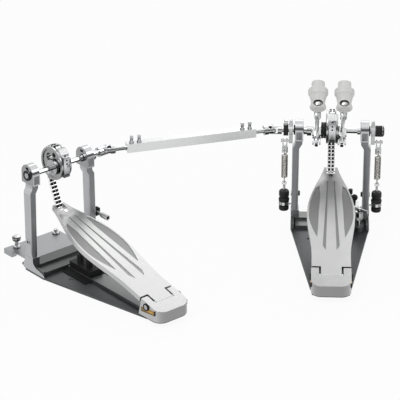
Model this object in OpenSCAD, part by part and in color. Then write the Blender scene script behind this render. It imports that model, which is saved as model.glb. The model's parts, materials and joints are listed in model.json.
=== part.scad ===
// Double bass drum pedal: a main pedal with two beaters, a slave pedal and the drive shaft between them.
// Millimetres. The origin is on the floor under the middle of the main pedal's shaft.
// +X is the drummer's right, +Y points to the drum and +Z is up.

/* [Shaft and posts] */
// height of both shafts above the floor
shaft_height = 185; // [150:1:220]
// across the flats of the hexagonal shaft
shaft_flats = 8; // [6:0.5:12]
// diameter of the round journals in the bearings
journal_d = 10.4; // [10:0.1:14]
// running clearance on the radius of a shaft or pin
run_gap = 0.06; // [0.03:0.01:0.1]
// sideways distance from the middle to each bearing
bearing_x = 59.5; // [50:0.5:75]
// how far each post steps outward below the bearing
post_step = 5.7; // [0:0.1:10]
// width of a post seen from the heel
post_w = 12.5; // [8:0.5:18]
// depth of a post from front to back
post_d = 20; // [14:0.5:30]
// how far the middle of the step in the post lies below the shaft
post_step_drop = 28; // [22:1:80]
// thickness of the bearing cap along the shaft
cap_w = 15; // [10:0.5:20]
// radius of the round top of the bearing cap
cap_r = 17; // [13:0.5:22]
// how far the bottom face of the bearing cap lies below the shaft
cap_drop = 16; // [10:0.5:25]

/* [Base] */
// height of the front block that carries the posts
base_top = 16; // [10:0.5:24]
// thickness of the long base plate
plate_t = 4; // [2:0.5:8]
// front edge of the base
base_front_y = 31; // [20:1:50]
// rear edge of the raised front block
block_rear_y = -40; // [-60:1:-25]
// half width of the front block
base_half_w = 71; // [68:0.5:85]
// half width of the base plate at its heel end, main pedal
main_tail_half_w = 36; // [20:1:45]
// half width of the base plate at its heel end, slave pedal
slave_tail_half_w = 24; // [20:1:45]
// half width of the raised rib along the base plate
rib_half_w = 15; // [8:0.5:22]
// height of the raised rib above the base plate
rib_rise = 5; // [2:0.5:10]
// radius of the two studs on the black block under the footboard
stud_r = 6; // [3:0.5:9]

/* [Heel and footboard] */
// distance of the hinge pin behind the shaft
heel_back = 285.7; // [240:0.5:340]
// height of the hinge pin above the floor
heel_pin_z = 31.6; // [26:0.2:40]
// diameter of the hinge pin
heel_pin_d = 8; // [5:0.5:10]
// half width of the heel block
heel_half_w = 35; // [30:0.5:45]
// distance of the heel plate's rear wall behind the shaft
heel_rear = 320; // [312:1:335]
// height of the heel plate's underside above the floor
heel_under = 11; // [10:0.2:14]
// radius of the heel plate's rear corners
heel_corner_r = 13; // [6:0.5:16]
// gap between the footboard and the heel plate
heel_gap = 3.4; // [2:0.1:5]
// slope of the footboard at rest in degrees
board_slope = 13.57; // [8:0.01:20]
// height of the footboard's top face above its hinge pin
board_rise = 7.7; // [6:0.1:12]
// thickness of the footboard
board_t = 9; // [6:0.5:14]
// distance along the board from the hinge pin to the toe pin
toe_run = 294.8; // [250:0.2:340]
// height of the toe pin above the hinge pin, square to the board
toe_rise = 2.3; // [0:0.1:5]
// half width of the footboard at its toe fork
toe_half_w = 12; // [10:0.5:18]
// half width of the footboard at its widest place
board_half_w = 43; // [35:0.5:50]
// half width of the footboard near the heel
waist_half_w = 34.2; // [26:0.2:42]
// half width of the tongue at the hinge
tongue_half_w = 17.8; // [12:0.1:24]
// distance from the hinge pin to the board's rear edge beside the tongue
board_tail = 19.6; // [14:0.2:30]
// depth of the two leaf shaped recesses
leaf_depth = 1.2; // [0.5:0.1:3]
// width of the rim left outside the leaf recess
rim_w = 6; // [3:0.5:10]
// half width of the plain middle strip between the leaves
strip_half_w = 14; // [8:0.5:20]
// half width of a groove beside the strip at the heel end
groove_half_w = 3.2; // [1:0.1:4]
// distance of each groove from the middle at the heel end
groove_x = 12.2; // [7:0.1:15]

/* [Cam and chain] */
// how far the cam's centre lies in front of the shaft
cam_y = 5; // [0:0.5:12]
// how far the cam's centre lies above the shaft
cam_z = 5; // [0:0.5:8]
// radius of the chain's pins around the cam
chain_r = 29; // [27:0.1:33]
// nominal pitch of the chain
chain_pitch = 7; // [5:0.1:9]
// height of the chain's side plates
chain_h = 5.8; // [4:0.1:6.4]
// width of the whole chain
chain_w = 12.8; // [9:0.1:16]
// diameter of the chain's pins
chain_pin_d = 2.2; // [1.5:0.1:2.6]
// how many links stay on the cam when the beater strikes
wrap_links = 5; // [3:2:5]
// thickness of each side flange of the cam
flange_t = 3.4; // [2:0.1:5]

/* [Beaters] */
// angle of the beaters behind the upright at rest in degrees
beater_lean = 45; // [30:1:60]
// sideways place of the right beater
right_beater_x = 18.2; // [18.1:0.1:22]
// sideways place of the left beater
left_beater_x = -28; // [-32:0.1:-24]
// diameter of the beater rods
rod_d = 7; // [5:0.5:9]
// distance of the rod's axis behind the shaft's axis
rod_offset = 10.2; // [9:0.1:13]
// how far a rod reaches below the shaft's axis
rod_tail = 31; // [26:1:45]
// distance from the shaft's axis to the middle of the beater head
head_reach = 144; // [130:1:170]
// radius of the beater head's flange
head_flange_r = 17.8; // [14:0.1:20]
// radius of the beater head's striking pad
head_pad_r = 12; // [8:0.5:16]
// distance from the rod to the striking face
head_front = 44; // [40:1:60]
// distance from the rod to the rear end of the head
head_rear = 9; // [8:0.5:16]

/* [Springs] */
// sideways distance of each spring from the middle
spring_x = 85; // [82:0.5:92]
// how far behind the shaft the spring hangs
spring_back = 4; // [0:0.5:8]
// how far the swivel in the spring bracket lies below the shaft
bracket_drop = 144; // [130:0.5:150]
// distance of the rocker's pin below the shaft
rocker_drop = 20; // [14:0.5:26]
// outer diameter of the spring coil
coil_od = 12; // [9:0.5:16]
// diameter of the spring wire
wire_d = 1.9; // [1.2:0.1:2]
// number of curls in one spring
coil_turns = 17; // [8:1:20]
// how far the lower end of the curls lies below the shaft
coil_drop = 93; // [86:0.5:100]
// radius of the eyes at the spring's ends
eye_r = 4.6; // [4:0.1:5.5]

/* [Hoop clamp] */
// how far the clamp's screw lies inside the side of the base
clamp_in = 18; // [15:0.5:21]
// place of the clamp's screw along Y
clamp_y = -39; // [-46:0.5:-38]
// diameter of the clamp's screw
clamp_screw_d = 6.8; // [5:0.2:10]
// length of the clamp's cross bar
clamp_bar = 40; // [30:1:42]
// how far the small knob beside the clamp lies inside the side of the base
knob_in = 33; // [27:0.5:41]

/* [Slave pedal and drive shaft] */
// place of the slave pedal along X
slave_x = -480.9; // [-560:1:-420]
// place of the slave pedal along Y
slave_y = -177.9; // [-240:1:-120]
// angle of the slave pedal in degrees
slave_turn = 43; // [20:1:60]
// distance of the slave's universal joint from the slave's middle
slave_joint_x = 105; // [100:0.5:130]
// distance of the main universal joint from the main pedal's middle
main_joint_x = 108; // [106:0.5:130]
// width of the square drive tube
tube_w = 16.5; // [13:0.5:22]
// diameter of the rods in the drive tube
link_rod_d = 9; // [7:0.5:11]
// length of rod that shows between a universal joint and the tube, main end
main_rod_show = 34; // [24:0.5:60]
// length of rod that shows between a universal joint and the tube, slave end
slave_rod_show = 38.6; // [30:0.5:60]
// length of each rod inside the tube
rod_in_tube = 95; // [60:5:110]
// outer radius of the universal joint yokes
yoke_r = 8.6; // [7:0.1:11]
// clearance on the radius of the universal joint pins
cross_gap = 0.28; // [0.2:0.01:0.4]
// front edge of the slave's toe plate
toe_plate_y = 88; // [70:1:100]

/* [Hidden] */
$fn = 48;
thin = 0.3;
journal_r = journal_d / 2;
hex_r = shaft_flats / 2 / cos(30);
post_x = bearing_x + post_step;
cap_foot_z = shaft_height - cap_drop;
post_step_z = shaft_height - post_step_drop;
bracket_z = shaft_height - bracket_drop;
coil_z = shaft_height - coil_drop;
clamp_x = base_half_w - clamp_in;
knob_x = base_half_w - knob_in;
post_out = post_x + post_w / 2;
post_in = post_x - post_w / 2;
clamp_screw_r = clamp_screw_d / 2;
base_under_heel = 12;
cap_top = shaft_height + cap_r + 3;
board_sin = sin(board_slope);
board_cos = cos(board_slope);
toe_y = -heel_back + toe_run * board_cos - toe_rise * board_sin;
toe_z = heel_pin_z + toe_run * board_sin + toe_rise * board_cos;
cam_dy = cam_y - toe_y;
cam_dz = shaft_height + cam_z - toe_z;
cam_dist = sqrt(cam_dy * cam_dy + cam_dz * cam_dz);
chain_angle = atan2(cam_dy, cam_dz) + asin(chain_r / cam_dist);
run_length = sqrt(cam_dist * cam_dist - chain_r * chain_r);
run_links = 2 * round(run_length / chain_pitch / 2);
pitch = run_length / run_links;
link_turn = 2 * asin(pitch / 2 / chain_r);
link_r = chain_h / 2;
core_r = chain_r - link_r - 0.1;
flange_r = chain_r + link_r - 1.4;
core_half_w = chain_w / 2 + 0.8;
cam_half_w = core_half_w + flange_t;
chain_bore_r = chain_pin_d / 2 + 0.15;
link_plate = 1.6;
inner_half_w = chain_w / 2 - link_plate - 0.15;
heel_pin_r = heel_pin_d / 2;
tongue_r = board_rise + 0.8;
arm_in = tongue_half_w + heel_gap;
holder_w = 14.4;
holder_r = 11.5;
rod_r = rod_d / 2;
disc_x = cam_half_w + 0.6;
disc_t = 3;
left_shaft_end = -(disc_x + disc_t + 0.8);
spigot_r = 2.6;
spigot_l = 14;
rocker_t = 7;
rocker_x = bearing_x + cap_w / 2 + 4 + rocker_t / 2;
rocker_out = rocker_x + rocker_t / 2;
hook_y = -spring_back;
hook_z = shaft_height - rocker_drop;
hook_pin_r = 2;
coil_r = (coil_od - wire_d) / 2;
wire_r = wire_d / 2;
coil_pitch = wire_d + 0.75;
coil_l = coil_turns * coil_pitch;
coil_top = coil_z + coil_l;
top_eye_z = coil_top + eye_r + 1.6;
low_eye_z = coil_z - eye_r - 1.6;
saddle_r = 1.5;
saddle_z = top_eye_z + eye_r - wire_r - thin - saddle_r;
tab_z = low_eye_z - eye_r - 1.0;
ball_r = 5.4;
bracket_r = 9.6;
bracket_h = 6;
swivel_pin_r = 1.6;
slave_cos = cos(slave_turn);
slave_sin = sin(slave_turn);
joint_sx = slave_x + slave_joint_x * slave_cos;
joint_sy = slave_y + slave_joint_x * slave_sin;
link_dx = joint_sx + main_joint_x;
link_dy = joint_sy;
link_len = sqrt(link_dx * link_dx + link_dy * link_dy);
link_turn_z = atan2(-link_dy, -link_dx);
tube_from = main_rod_show;
tube_to = link_len - slave_rod_show;
tube_len = tube_to - tube_from;
cross_half = 4.4;
ear_in = cross_half + 0.5;
ear_r = 4.6;
ear_out = yoke_r;
pin_r = 2.3;

// colours
steel = [0.72, 0.73, 0.74];
bright = [0.86, 0.87, 0.88];
cast = [0.56, 0.57, 0.58];
board_grey = [0.70, 0.71, 0.70];
black = [0.10, 0.10, 0.11];
dark = [0.34, 0.35, 0.36];
white = [0.88, 0.88, 0.87];

// Places

module at_slave() {
  translate([slave_x, slave_y, 0]) rotate([0, 0, slave_turn]) children();
}

module at_link() {
  translate([-main_joint_x, 0, shaft_height]) rotate([0, 0, link_turn_z]) children();
}

module on_board() {
  translate([0, -heel_back, heel_pin_z]) rotate([board_slope, 0, 0]) children();
}

module on_shaft(x = 0) {
  translate([x, 0, shaft_height]) children();
}

module along_x(x, len, r, sides = 48) {
  translate([x, 0, 0]) rotate([0, 90, 0]) cylinder(r = r, h = len, $fn = sides);
}

module hex_x(x, len) {
  translate([x, 0, 0]) rotate([0, 90, 0]) rotate([0, 0, 30]) cylinder(r = hex_r, h = len, $fn = 6);
}

module box(x0, x1, y0, y1, z0, z1) {
  translate([x0, y0, z0]) cube([x1 - x0, y1 - y0, z1 - z0]);
}

// Base and posts

module base_shape(tail) {
  rib_top = plate_t + rib_rise;
  tail_y = -heel_back + base_under_heel;
  color(dark) difference() {
    union() {
      linear_extrude(plate_t)
        polygon([
          [-base_half_w + 8, base_front_y - 6], [-base_half_w, base_front_y - 24], [-base_half_w, block_rear_y],
          [-tail, tail_y], [tail, tail_y], [base_half_w, block_rear_y],
          [base_half_w, base_front_y - 24], [base_half_w - 8, base_front_y - 6]
        ]);
      box(-base_half_w + 8, base_half_w - 8, base_front_y - 12, base_front_y, 0, plate_t);
      box(-tail + 3, tail - 3, -heel_back - 8, tail_y + 1, 0, plate_t);
      box(-rib_half_w, rib_half_w, tail_y, block_rear_y + 4, 0, rib_top);
      box(-base_half_w, base_half_w, -16, 10, 0, base_top);
      box(-base_half_w + 8, base_half_w - 8, block_rear_y, 10, 0, base_top - 5);
      translate([clamp_x, clamp_y, 0]) cylinder(r = 9, h = base_top - 4);
      box(-base_half_w, -base_half_w + 5, block_rear_y - 4, 10, 0, base_top - 1);
      box(base_half_w - 5, base_half_w, block_rear_y - 4, 10, 0, base_top - 1);
    }
    box(-rib_half_w + 3, rib_half_w - 3, tail_y - 1, block_rear_y, -1, rib_top - 3);
    for (s = [-1, 1]) box(s > 0 ? 10 : 13 - base_half_w, s > 0 ? base_half_w - 13 : -10, -8, 3, -1, base_top - 6);
    for (x = [-38, 38]) translate([x, -80, -1]) cylinder(r = 4, h = plate_t + 2);
    translate([clamp_x, clamp_y, base_top - 9]) cylinder(r = clamp_screw_r + run_gap, h = 20);
  }
}

module post(side) {
  bend = post_step + 4;
  translate([0, -3 - post_d / 2 + 1, 0]) translate([0, post_d, 0]) rotate([90, 0, 0]) linear_extrude(post_d)
    polygon([
      [side * (post_x - post_w / 2), base_top], [side * (post_x + post_w / 2), base_top],
      [side * (post_x + post_w / 2), post_step_z - bend / 2],
      [side * (bearing_x + post_w / 2), post_step_z + bend / 2],
      [side * (bearing_x + post_w / 2), cap_foot_z], [side * (bearing_x - post_w / 2), cap_foot_z],
      [side * (bearing_x - post_w / 2), post_step_z + bend / 2],
      [side * (post_x - post_w / 2), post_step_z - bend / 2]
    ]);
}

module posts_shape() {
  color(cast) for (s = [-1, 1]) difference() {
    union() {
      post(s);
      box(s > 0 ? post_in - 2 : -post_out, s > 0 ? post_out : -post_in + 2, -14, 9.5, base_top, base_top + 14);
      translate([s * post_out, -2, bracket_z + 18]) rotate([0, s * 90, 0]) cylinder(r = 5, h = 1.2);
    }
    translate([s * (post_out + 2), -2, bracket_z + 18]) rotate([0, -s * 90, 0]) cylinder(r = 2.6, h = 6);
    translate([s * (post_x - post_w / 2 - 3), -2, base_top + 8]) rotate([0, s * 90, 0]) cylinder(r = 2.6, h = 6);
  }
}

module caps_shape() {
  color(bright) for (s = [-1, 1]) translate([s * bearing_x, 0, 0]) difference() {
    union() {
      box(-cap_w / 2, cap_w / 2, -cap_r, cap_r, cap_foot_z, shaft_height + 3);
      translate([-cap_w / 2, 0, shaft_height + 3]) rotate([0, 90, 0]) cylinder(r = cap_r, h = cap_w);
      translate([s * cap_w / 2, 0, shaft_height]) rotate([0, s * 90, 0]) cylinder(r = 9, h = 1.2);
    }
    translate([-cap_w, 0, shaft_height]) rotate([0, 90, 0]) cylinder(r = journal_r + run_gap, h = 2 * cap_w);
    box(-cap_w, cap_w, -4, 4, cap_top - 9, cap_top - 5);
  }
}

module pad_shape() {
  color(black) difference() {
    union() {
      box(-rib_half_w + 1, rib_half_w - 1, -104, -44.2, plate_t + rib_rise, plate_t + rib_rise + 11);
      for (y = [-84, -58]) translate([0, y, plate_t + rib_rise]) cylinder(r = stud_r, h = 25);
    }
    for (y = [-84, -58]) translate([0, y, plate_t + rib_rise + 20]) cylinder(r = stud_r / 2, h = 9);
  }
}

// Heel and footboard

module heel_shape() {
  tail_y = -heel_back + base_under_heel;
  rear = -heel_rear;
  color(steel) difference() {
    union() {
      for (s = [-1, 1])
        translate([s * (heel_half_w - heel_corner_r), rear + heel_corner_r, heel_under]) cylinder(r = heel_corner_r, h = 50);
      box(-heel_half_w + heel_corner_r, heel_half_w - heel_corner_r, rear, tail_y, heel_under, 60);
      box(-heel_half_w, heel_half_w, rear + heel_corner_r, tail_y + 20, heel_under, 60);
      box(-22, 22, -heel_back - 8, tail_y - thin, plate_t + 0.1, heel_under + 1);
    }
    on_board() {
      box(-60, 60, -80, 80, board_rise, 60);
      box(-60, 60, board_tail - heel_gap, 80, -60, 60);
      box(-arm_in, arm_in, 0, 80, -6, 60);
      along_x(-arm_in, 2 * arm_in, tongue_r + 0.6);
      along_x(-60, 120, heel_pin_r + run_gap);
    }
  }
}

module heel_pin_shape() {
  color(bright) translate([0, -heel_back, heel_pin_z]) {
    along_x(-heel_half_w - 0.8, 2 * heel_half_w + 1.6, heel_pin_r);
    for (s = [-1, 1]) along_x(s > 0 ? tongue_half_w + 0.2 : -arm_in + 0.2, arm_in - tongue_half_w - 0.4, heel_pin_r + 1.8);
    for (s = [-1, 1]) translate([s * (heel_half_w + 0.3), 0, 0]) rotate([0, s * 90, 0])
      cylinder(r = heel_pin_r + 2, h = 1.6);
  }
}

board_end = toe_run + 5;
wide_at = toe_run - 128;
waist_at = toe_run - 240;
steps = 24;

function half_w(d) =
  d > wide_at ? toe_half_w + (board_half_w - toe_half_w) * pow(sin(90 * (board_end - d) / (board_end - wide_at)), 1.3) :
  d > waist_at ? (board_half_w + waist_half_w) / 2 - (board_half_w - waist_half_w) / 2 * cos(180 * (d - waist_at) / (wide_at - waist_at)) :
  waist_half_w;

function side_pts(from, to, inset) = [for (i = [0:steps]) let (d = from + (to - from) * i / steps) [half_w(d) - inset, d]];

function mirror_pts(pts) = [for (i = [len(pts) - 1:-1:0]) [-pts[i][0], pts[i][1]]];

module leaf(s) {
  from = toe_run - 226;
  to = toe_run - 46;
  outer = side_pts(from, to, rim_w);
  inner = [for (i = [steps:-1:0]) let (t = i / steps, x = strip_half_w + (t < 0.12 ? (0.12 - t) * 90 : 0) + (t > 0.86 ? (0.86 - t) * 26 : 0))
    [min(x, outer[i][0] - 0.4), outer[i][1]]];
  pts = concat(outer, inner);
  scale([s, 1, 1]) linear_extrude(leaf_depth + 1) polygon(pts);
}

module groove(s) {
  scale([s, 1, 1]) linear_extrude(2.2)
    polygon([
      [groove_x - groove_half_w, toe_run - 240], [groove_x + groove_half_w, toe_run - 228],
      [6.2, toe_run - 30], [5, toe_run - 30]
    ]);
}

module footboard_shape() {
  outline = concat(side_pts(board_tail, board_end, 0), mirror_pts(side_pts(board_tail, board_end, 0)));
  notch = core_half_w + 0.6;
  color(board_grey) on_board() difference() {
    union() {
      translate([0, 0, board_rise - board_t]) linear_extrude(board_t) polygon(outline);
      box(-tongue_half_w, tongue_half_w, 0, board_tail + 1, board_rise - board_t + 1.5, board_rise);
      along_x(-tongue_half_w, 2 * tongue_half_w, tongue_r);
    }
    for (s = [-1, 1]) {
      translate([0, 0, board_rise - leaf_depth]) leaf(s);
      translate([0, 0, board_rise - 1.2]) groove(s);
    }
    box(-notch, notch, toe_run - 13, board_end + 1, -20, 20);
    box(-tongue_half_w - 1, tongue_half_w + 1, -20, board_tail - 1, board_rise, 20);
    for (s = [-1, 1]) translate([s * toe_half_w, toe_run, toe_rise]) rotate([0, s * 90, 0]) cylinder(r = 3, h = 10);
    translate([0, 0, toe_rise]) translate([0, toe_run, 0]) along_x(-30, 60, chain_pin_d / 2 + run_gap);
    along_x(-40, 80, heel_pin_r + run_gap);
    difference() {
      box(-board_half_w, board_half_w, board_tail + 9, toe_run - 36, board_rise - board_t - 1, board_rise - 4);
      translate([0, 0, board_rise - board_t - 2]) linear_extrude(board_t) difference() {
        polygon([[-60, 0], [60, 0], [60, toe_run + 10], [-60, toe_run + 10]]);
        polygon(concat(side_pts(board_tail, board_end, 4), mirror_pts(side_pts(board_tail, board_end, 4))));
      }
      box(-1.6, 1.6, 0, toe_run, -20, 20);
      for (x = [-17, 17]) box(x - 1.2, x + 1.2, 0, toe_run, -20, 20);
      for (d = [90:50:240]) box(-60, 60, d - 1.2, d + 1.2, -20, 20);
    }
    translate([0, toe_run - 18.5, board_rise - 1.6]) cylinder(r = 3.6, h = 4);
  }
}

module toe_pin_shape() {
  color(bright) {
    on_board() translate([0, toe_run, toe_rise]) {
      along_x(-toe_half_w - 1.4, 2 * toe_half_w + 2.8, chain_pin_d / 2);
      for (s = [-1, 1]) translate([s * (toe_half_w + 0.3), 0, 0]) rotate([0, s * 90, 0]) cylinder(r = 2.6, h = 1.4);
    }
    on_board() translate([0, toe_run - 18.5, board_rise - 1.6]) difference() {
      cylinder(r = 3.5, h = 2);
      box(-4, 4, -0.5, 0.5, 1, 3);
    }
  }
}

// Cam and chain

function arc_pt(k) =
  let (a = -chain_angle + k * link_turn)
  [cam_y + chain_r * cos(a), shaft_height + cam_z + chain_r * sin(a)];

function run_pt(j) = [toe_y + j * pitch * sin(chain_angle), toe_z + j * pitch * cos(chain_angle)];

module link_at(p, q) {
  translate([0, p[0], p[1]]) rotate([atan2(q[1] - p[1], q[0] - p[0]), 0, 0]) children();
}

module eight(x0, x1) {
  along_x(x0, x1 - x0, link_r);
  translate([0, pitch, 0]) along_x(x0, x1 - x0, link_r);
  box(x0, x1, 0, pitch, -link_r * 0.62, link_r * 0.62);
}

module inner_link() {
  difference() {
    eight(-inner_half_w, inner_half_w);
    for (y = [0, pitch]) translate([0, y, 0]) along_x(-10, 20, chain_bore_r);
    box(-0.7, 0.7, -link_r - 1, pitch + link_r + 1, link_r * 0.2, 10);
    box(-0.7, 0.7, -link_r - 1, pitch + link_r + 1, -10, -link_r * 0.2);
  }
}

module outer_link() {
  for (s = [-1, 1]) eight(s > 0 ? chain_w / 2 - link_plate : -chain_w / 2, s > 0 ? chain_w / 2 : -chain_w / 2 + link_plate);
  for (y = [0, pitch]) translate([0, y, 0]) along_x(-chain_w / 2 - 0.3, chain_w + 0.6, chain_pin_d / 2);
}

module chain_link(i) {
  if (i % 2 == 0) inner_link();
  else outer_link();
}

module chain_run_shape() {
  color(steel) for (i = [0:run_links - 1]) link_at(run_pt(i), run_pt(i + 1)) chain_link(i);
}

module chain_arc_shape(from, to) {
  color(steel) for (k = [from:to - 1]) link_at(arc_pt(k), arc_pt(k + 1)) chain_link(k);
}

module at_cam() {
  translate([0, cam_y, shaft_height + cam_z]) children();
}

// side outline of the block behind the cam, measured from the shaft
module cam_block(half) {
  translate([-half, 0, shaft_height]) rotate([90, 0, 90]) linear_extrude(2 * half)
    polygon([
      [-3, 28], [-7, 36], [-14, 36], [-21, 28], [-21, 13], [-18, 11.5],
      [-18, -9], [-8, -12.5], [5, -11], [5, 5]
    ]);
}

module sprocket_shape() {
  color(steel) difference() {
    union() {
      at_cam() along_x(-core_half_w - 1, 2 * core_half_w + 2, core_r);
      for (s = [-1, 1]) at_cam() along_x(s > 0 ? core_half_w : -cam_half_w, flange_t, flange_r);
      on_shaft() along_x(-cam_half_w, 2 * cam_half_w, holder_r);
      cam_block(core_half_w + 1);
    }
    on_shaft() along_x(-20, 40, hex_r + run_gap);
    for (s = [-1, 1]) difference() {
      at_cam() along_x(s > 0 ? cam_half_w - 2 : -cam_half_w - 1, 3, flange_r - 4);
      on_shaft() along_x(-20, 40, holder_r);
    }
    at_cam() translate([0, 9, 9]) along_x(-20, 40, 8);
    at_cam() translate([0, 12, -12]) along_x(-20, 40, 5.4);
    at_cam() translate([0, -5, 17]) along_x(-20, 40, 4.6);
    for (z = [19, 25]) translate([0, -14, shaft_height + z]) rotate([90, 0, 0]) cylinder(r = 1.6, h = 10);
    translate([0, -13, shaft_height - 14]) cylinder(r = 2.8, h = 9);
    box(-cam_half_w - 1, cam_half_w + 1, -23, -hex_r, shaft_height - 0.6, shaft_height + 0.6);
  }
}

// Shafts, holders and beaters

module shaft_shape() {
  color(bright) on_shaft() {
    hex_x(-disc_x, disc_x + bearing_x - cap_w / 2 - 1);
    along_x(-disc_x - disc_t, disc_t, 14.5);
    along_x(bearing_x - cap_w / 2 - 2, cap_w + 5, journal_r);
    along_x(bearing_x - cap_w / 2 - 6, 5, journal_r + 1.6);
  }
}

module main_shaft_shape() {
  shaft_shape();
  color(bright) on_shaft() {
    hex_x(bearing_x, rocker_out + 10 - bearing_x);
    along_x(-disc_x - disc_t - spigot_l, spigot_l, spigot_r);
    along_x(rocker_out + 0.6, 13, 10);
    translate([rocker_out + 13.6, 0, 0]) intersection() {
      scale([0.35, 1, 1]) sphere(r = 10);
      along_x(0, 12, 11);
    }
  }
}

module slave_shaft_shape() {
  shaft_shape();
  color(bright) on_shaft() {
    hex_x(-bearing_x + cap_w / 2 - 2, bearing_x - cap_w / 2 + 2);
    along_x(-bearing_x - cap_w / 2 - 2, cap_w + 3, journal_r);
    along_x(-bearing_x + cap_w / 2 + 1, 5, journal_r + 1.6);
    along_x(bearing_x + cap_w / 2, slave_joint_x - 9.2 - bearing_x - cap_w / 2, journal_r);
    along_x(bearing_x + cap_w / 2 + 2, 8, 10.5);
  }
}

module left_shaft_shape() {
  color(bright) on_shaft() difference() {
    union() {
      translate([left_shaft_end, 0, 0]) rotate([0, -90, 0]) rotate([0, 0, 30]) cylinder(r = hex_r, h = bearing_x - cap_w / 2 + left_shaft_end + 1, $fn = 6);
      along_x(-bearing_x - cap_w / 2 - 2, cap_w + 4, journal_r);
      along_x(-main_joint_x + 9.2, main_joint_x - 9.2 - bearing_x, hex_r);
      along_x(-bearing_x + cap_w / 2 + 0.6, 6, 8);
      along_x(-bearing_x + cap_w / 2 + 6.6, 8, 10.5);
    }
    along_x(left_shaft_end - spigot_l - 2, spigot_l + 3, spigot_r + run_gap);
  }
}

module collar_shape() {
  color(black) on_shaft(-rocker_out - 5.6) difference() {
    union() {
      along_x(-4.4, 8.8, 11);
      box(-3.4, 3.4, -3.4, 3.4, 8, 19);
    }
    along_x(-10, 20, hex_r + run_gap);
  }
}

module holder_shape(x) {
  color(cast) difference() {
    union() {
      on_shaft(x) along_x(-holder_w / 2, holder_w, holder_r);
      on_shaft(x) rotate([beater_lean, 0, 0]) {
        translate([0, -rod_offset, -rod_tail + 6]) cylinder(r = holder_w / 2 - 0.25, h = rod_tail + 8);
        box(-holder_w / 2 + 0.8, holder_w / 2 - 0.8, -rod_offset, 4, -rod_tail + 12, 8.4);
        translate([0, -rod_offset - 2, -3]) rotate([90, 0, 0]) cylinder(r = 4, h = 8);
        box(-2.6, 2.6, -rod_offset - 14, -rod_offset - 8, -5.6, -0.4);
      }
      on_shaft(x) rotate([-35, 0, 0]) {
        translate([0, 10, 0]) rotate([-90, 0, 0]) cylinder(r = 4, h = 6);
        box(-2.6, 2.6, 14, 20, -2.6, 2.6);
      }
    }
    on_shaft(x) along_x(-20, 40, hex_r + run_gap);
    on_shaft(x) rotate([beater_lean, 0, 0]) translate([0, -rod_offset, -60]) cylinder(r = rod_r + run_gap, h = 120);
  }
}

module rod_shape(x) {
  color(bright) on_shaft(x) rotate([beater_lean, 0, 0]) translate([0, -rod_offset, -rod_tail])
    union() {
      cylinder(r = rod_r, h = rod_tail + head_reach + 4);
      translate([0, 0, rod_tail + head_reach - 56]) cylinder(r = 6.4, h = 18);
    }
}

module head_shape(x) {
  rear = head_rear;
  front = head_front;
  r = head_flange_r;
  color(white) on_shaft(x) rotate([beater_lean, 0, 0]) translate([0, -rod_offset, head_reach]) difference() {
    union() {
      rotate([-90, 0, 0]) rotate_extrude()
        polygon([
          [0, -rear], [r * 0.55, -rear], [r * 0.76, -rear + 1.2], [r * 0.83, -rear + 4.5],
          [r * 0.7, 6.5], [r * 0.93, front - 20], [r, front - 18.5], [r, front - 10],
          [r * 0.94, front - 8.6], [head_pad_r, front - 7], [head_pad_r, front - 1.5], [head_pad_r - 1.5, front], [0, front]
        ]);
      translate([0, 0, -19]) cylinder(r = 6.6, h = 16);
      translate([0, 0, -26]) cylinder(r = 6, h = 4);
    }
    translate([0, 0, -60]) cylinder(r = rod_r + run_gap, h = 120);
    translate([0, 0, 7]) cylinder(r = 8, h = 20);
  }
}

// Springs

module rocker_shape(side) {
  color(steel) on_shaft(side * rocker_x) difference() {
    union() {
      along_x(-rocker_t / 2, rocker_t, 11);
      box(-rocker_t / 2, rocker_t / 2, hook_y - 5, hook_y + 5, -rocker_drop, -4);
      translate([0, hook_y, -rocker_drop]) along_x(-rocker_t / 2, rocker_t, 5);
      box(-rocker_t / 2, rocker_t / 2, -5, 5, 5, 15);
      box(-2.6, 2.6, -2.6, 2.6, 14, 19);
      translate([0, hook_y, -rocker_drop]) along_x(side > 0 ? 0 : -spring_x + rocker_x - 7.4, spring_x - rocker_x + 7.4, hook_pin_r);
      translate([side * (spring_x - rocker_x + 6), hook_y, -rocker_drop]) rotate([0, side * 90, 0]) cylinder(r = 3.4, h = 1.6);
    }
    along_x(-20, 40, hex_r + run_gap);
  }
}

module stirrup_shape(side) {
  color(steel) translate([side * spring_x, hook_y, 0]) difference() {
    union() {
      translate([0, 0, hook_z]) along_x(-4.6, 9.2, 4.4);
      box(-4.6, 4.6, -4.4, 4.4, hook_z - 12, hook_z);
      translate([0, 0, saddle_z - 3]) cylinder(r = 5.6, h = hook_z - 12 - saddle_z + 3);
      along_low();
    }
    translate([0, 0, hook_z]) along_x(-10, 20, hook_pin_r + run_gap);
    box(-2.4, 2.4, -10, 10, hook_z - 8, hook_z + 10);
    box(-wire_r - 1.4, wire_r + 1.4, -10, 10, saddle_z - 10, saddle_z + eye_r + 1);
  }
  color(steel) translate([side * spring_x, hook_y, saddle_z]) along_x(-wire_r - 2.4, wire_d + 4.8, saddle_r);
}

module along_low() {
  translate([0, 0, saddle_z]) along_x(-5.4, 10.8, 3);
}

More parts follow.
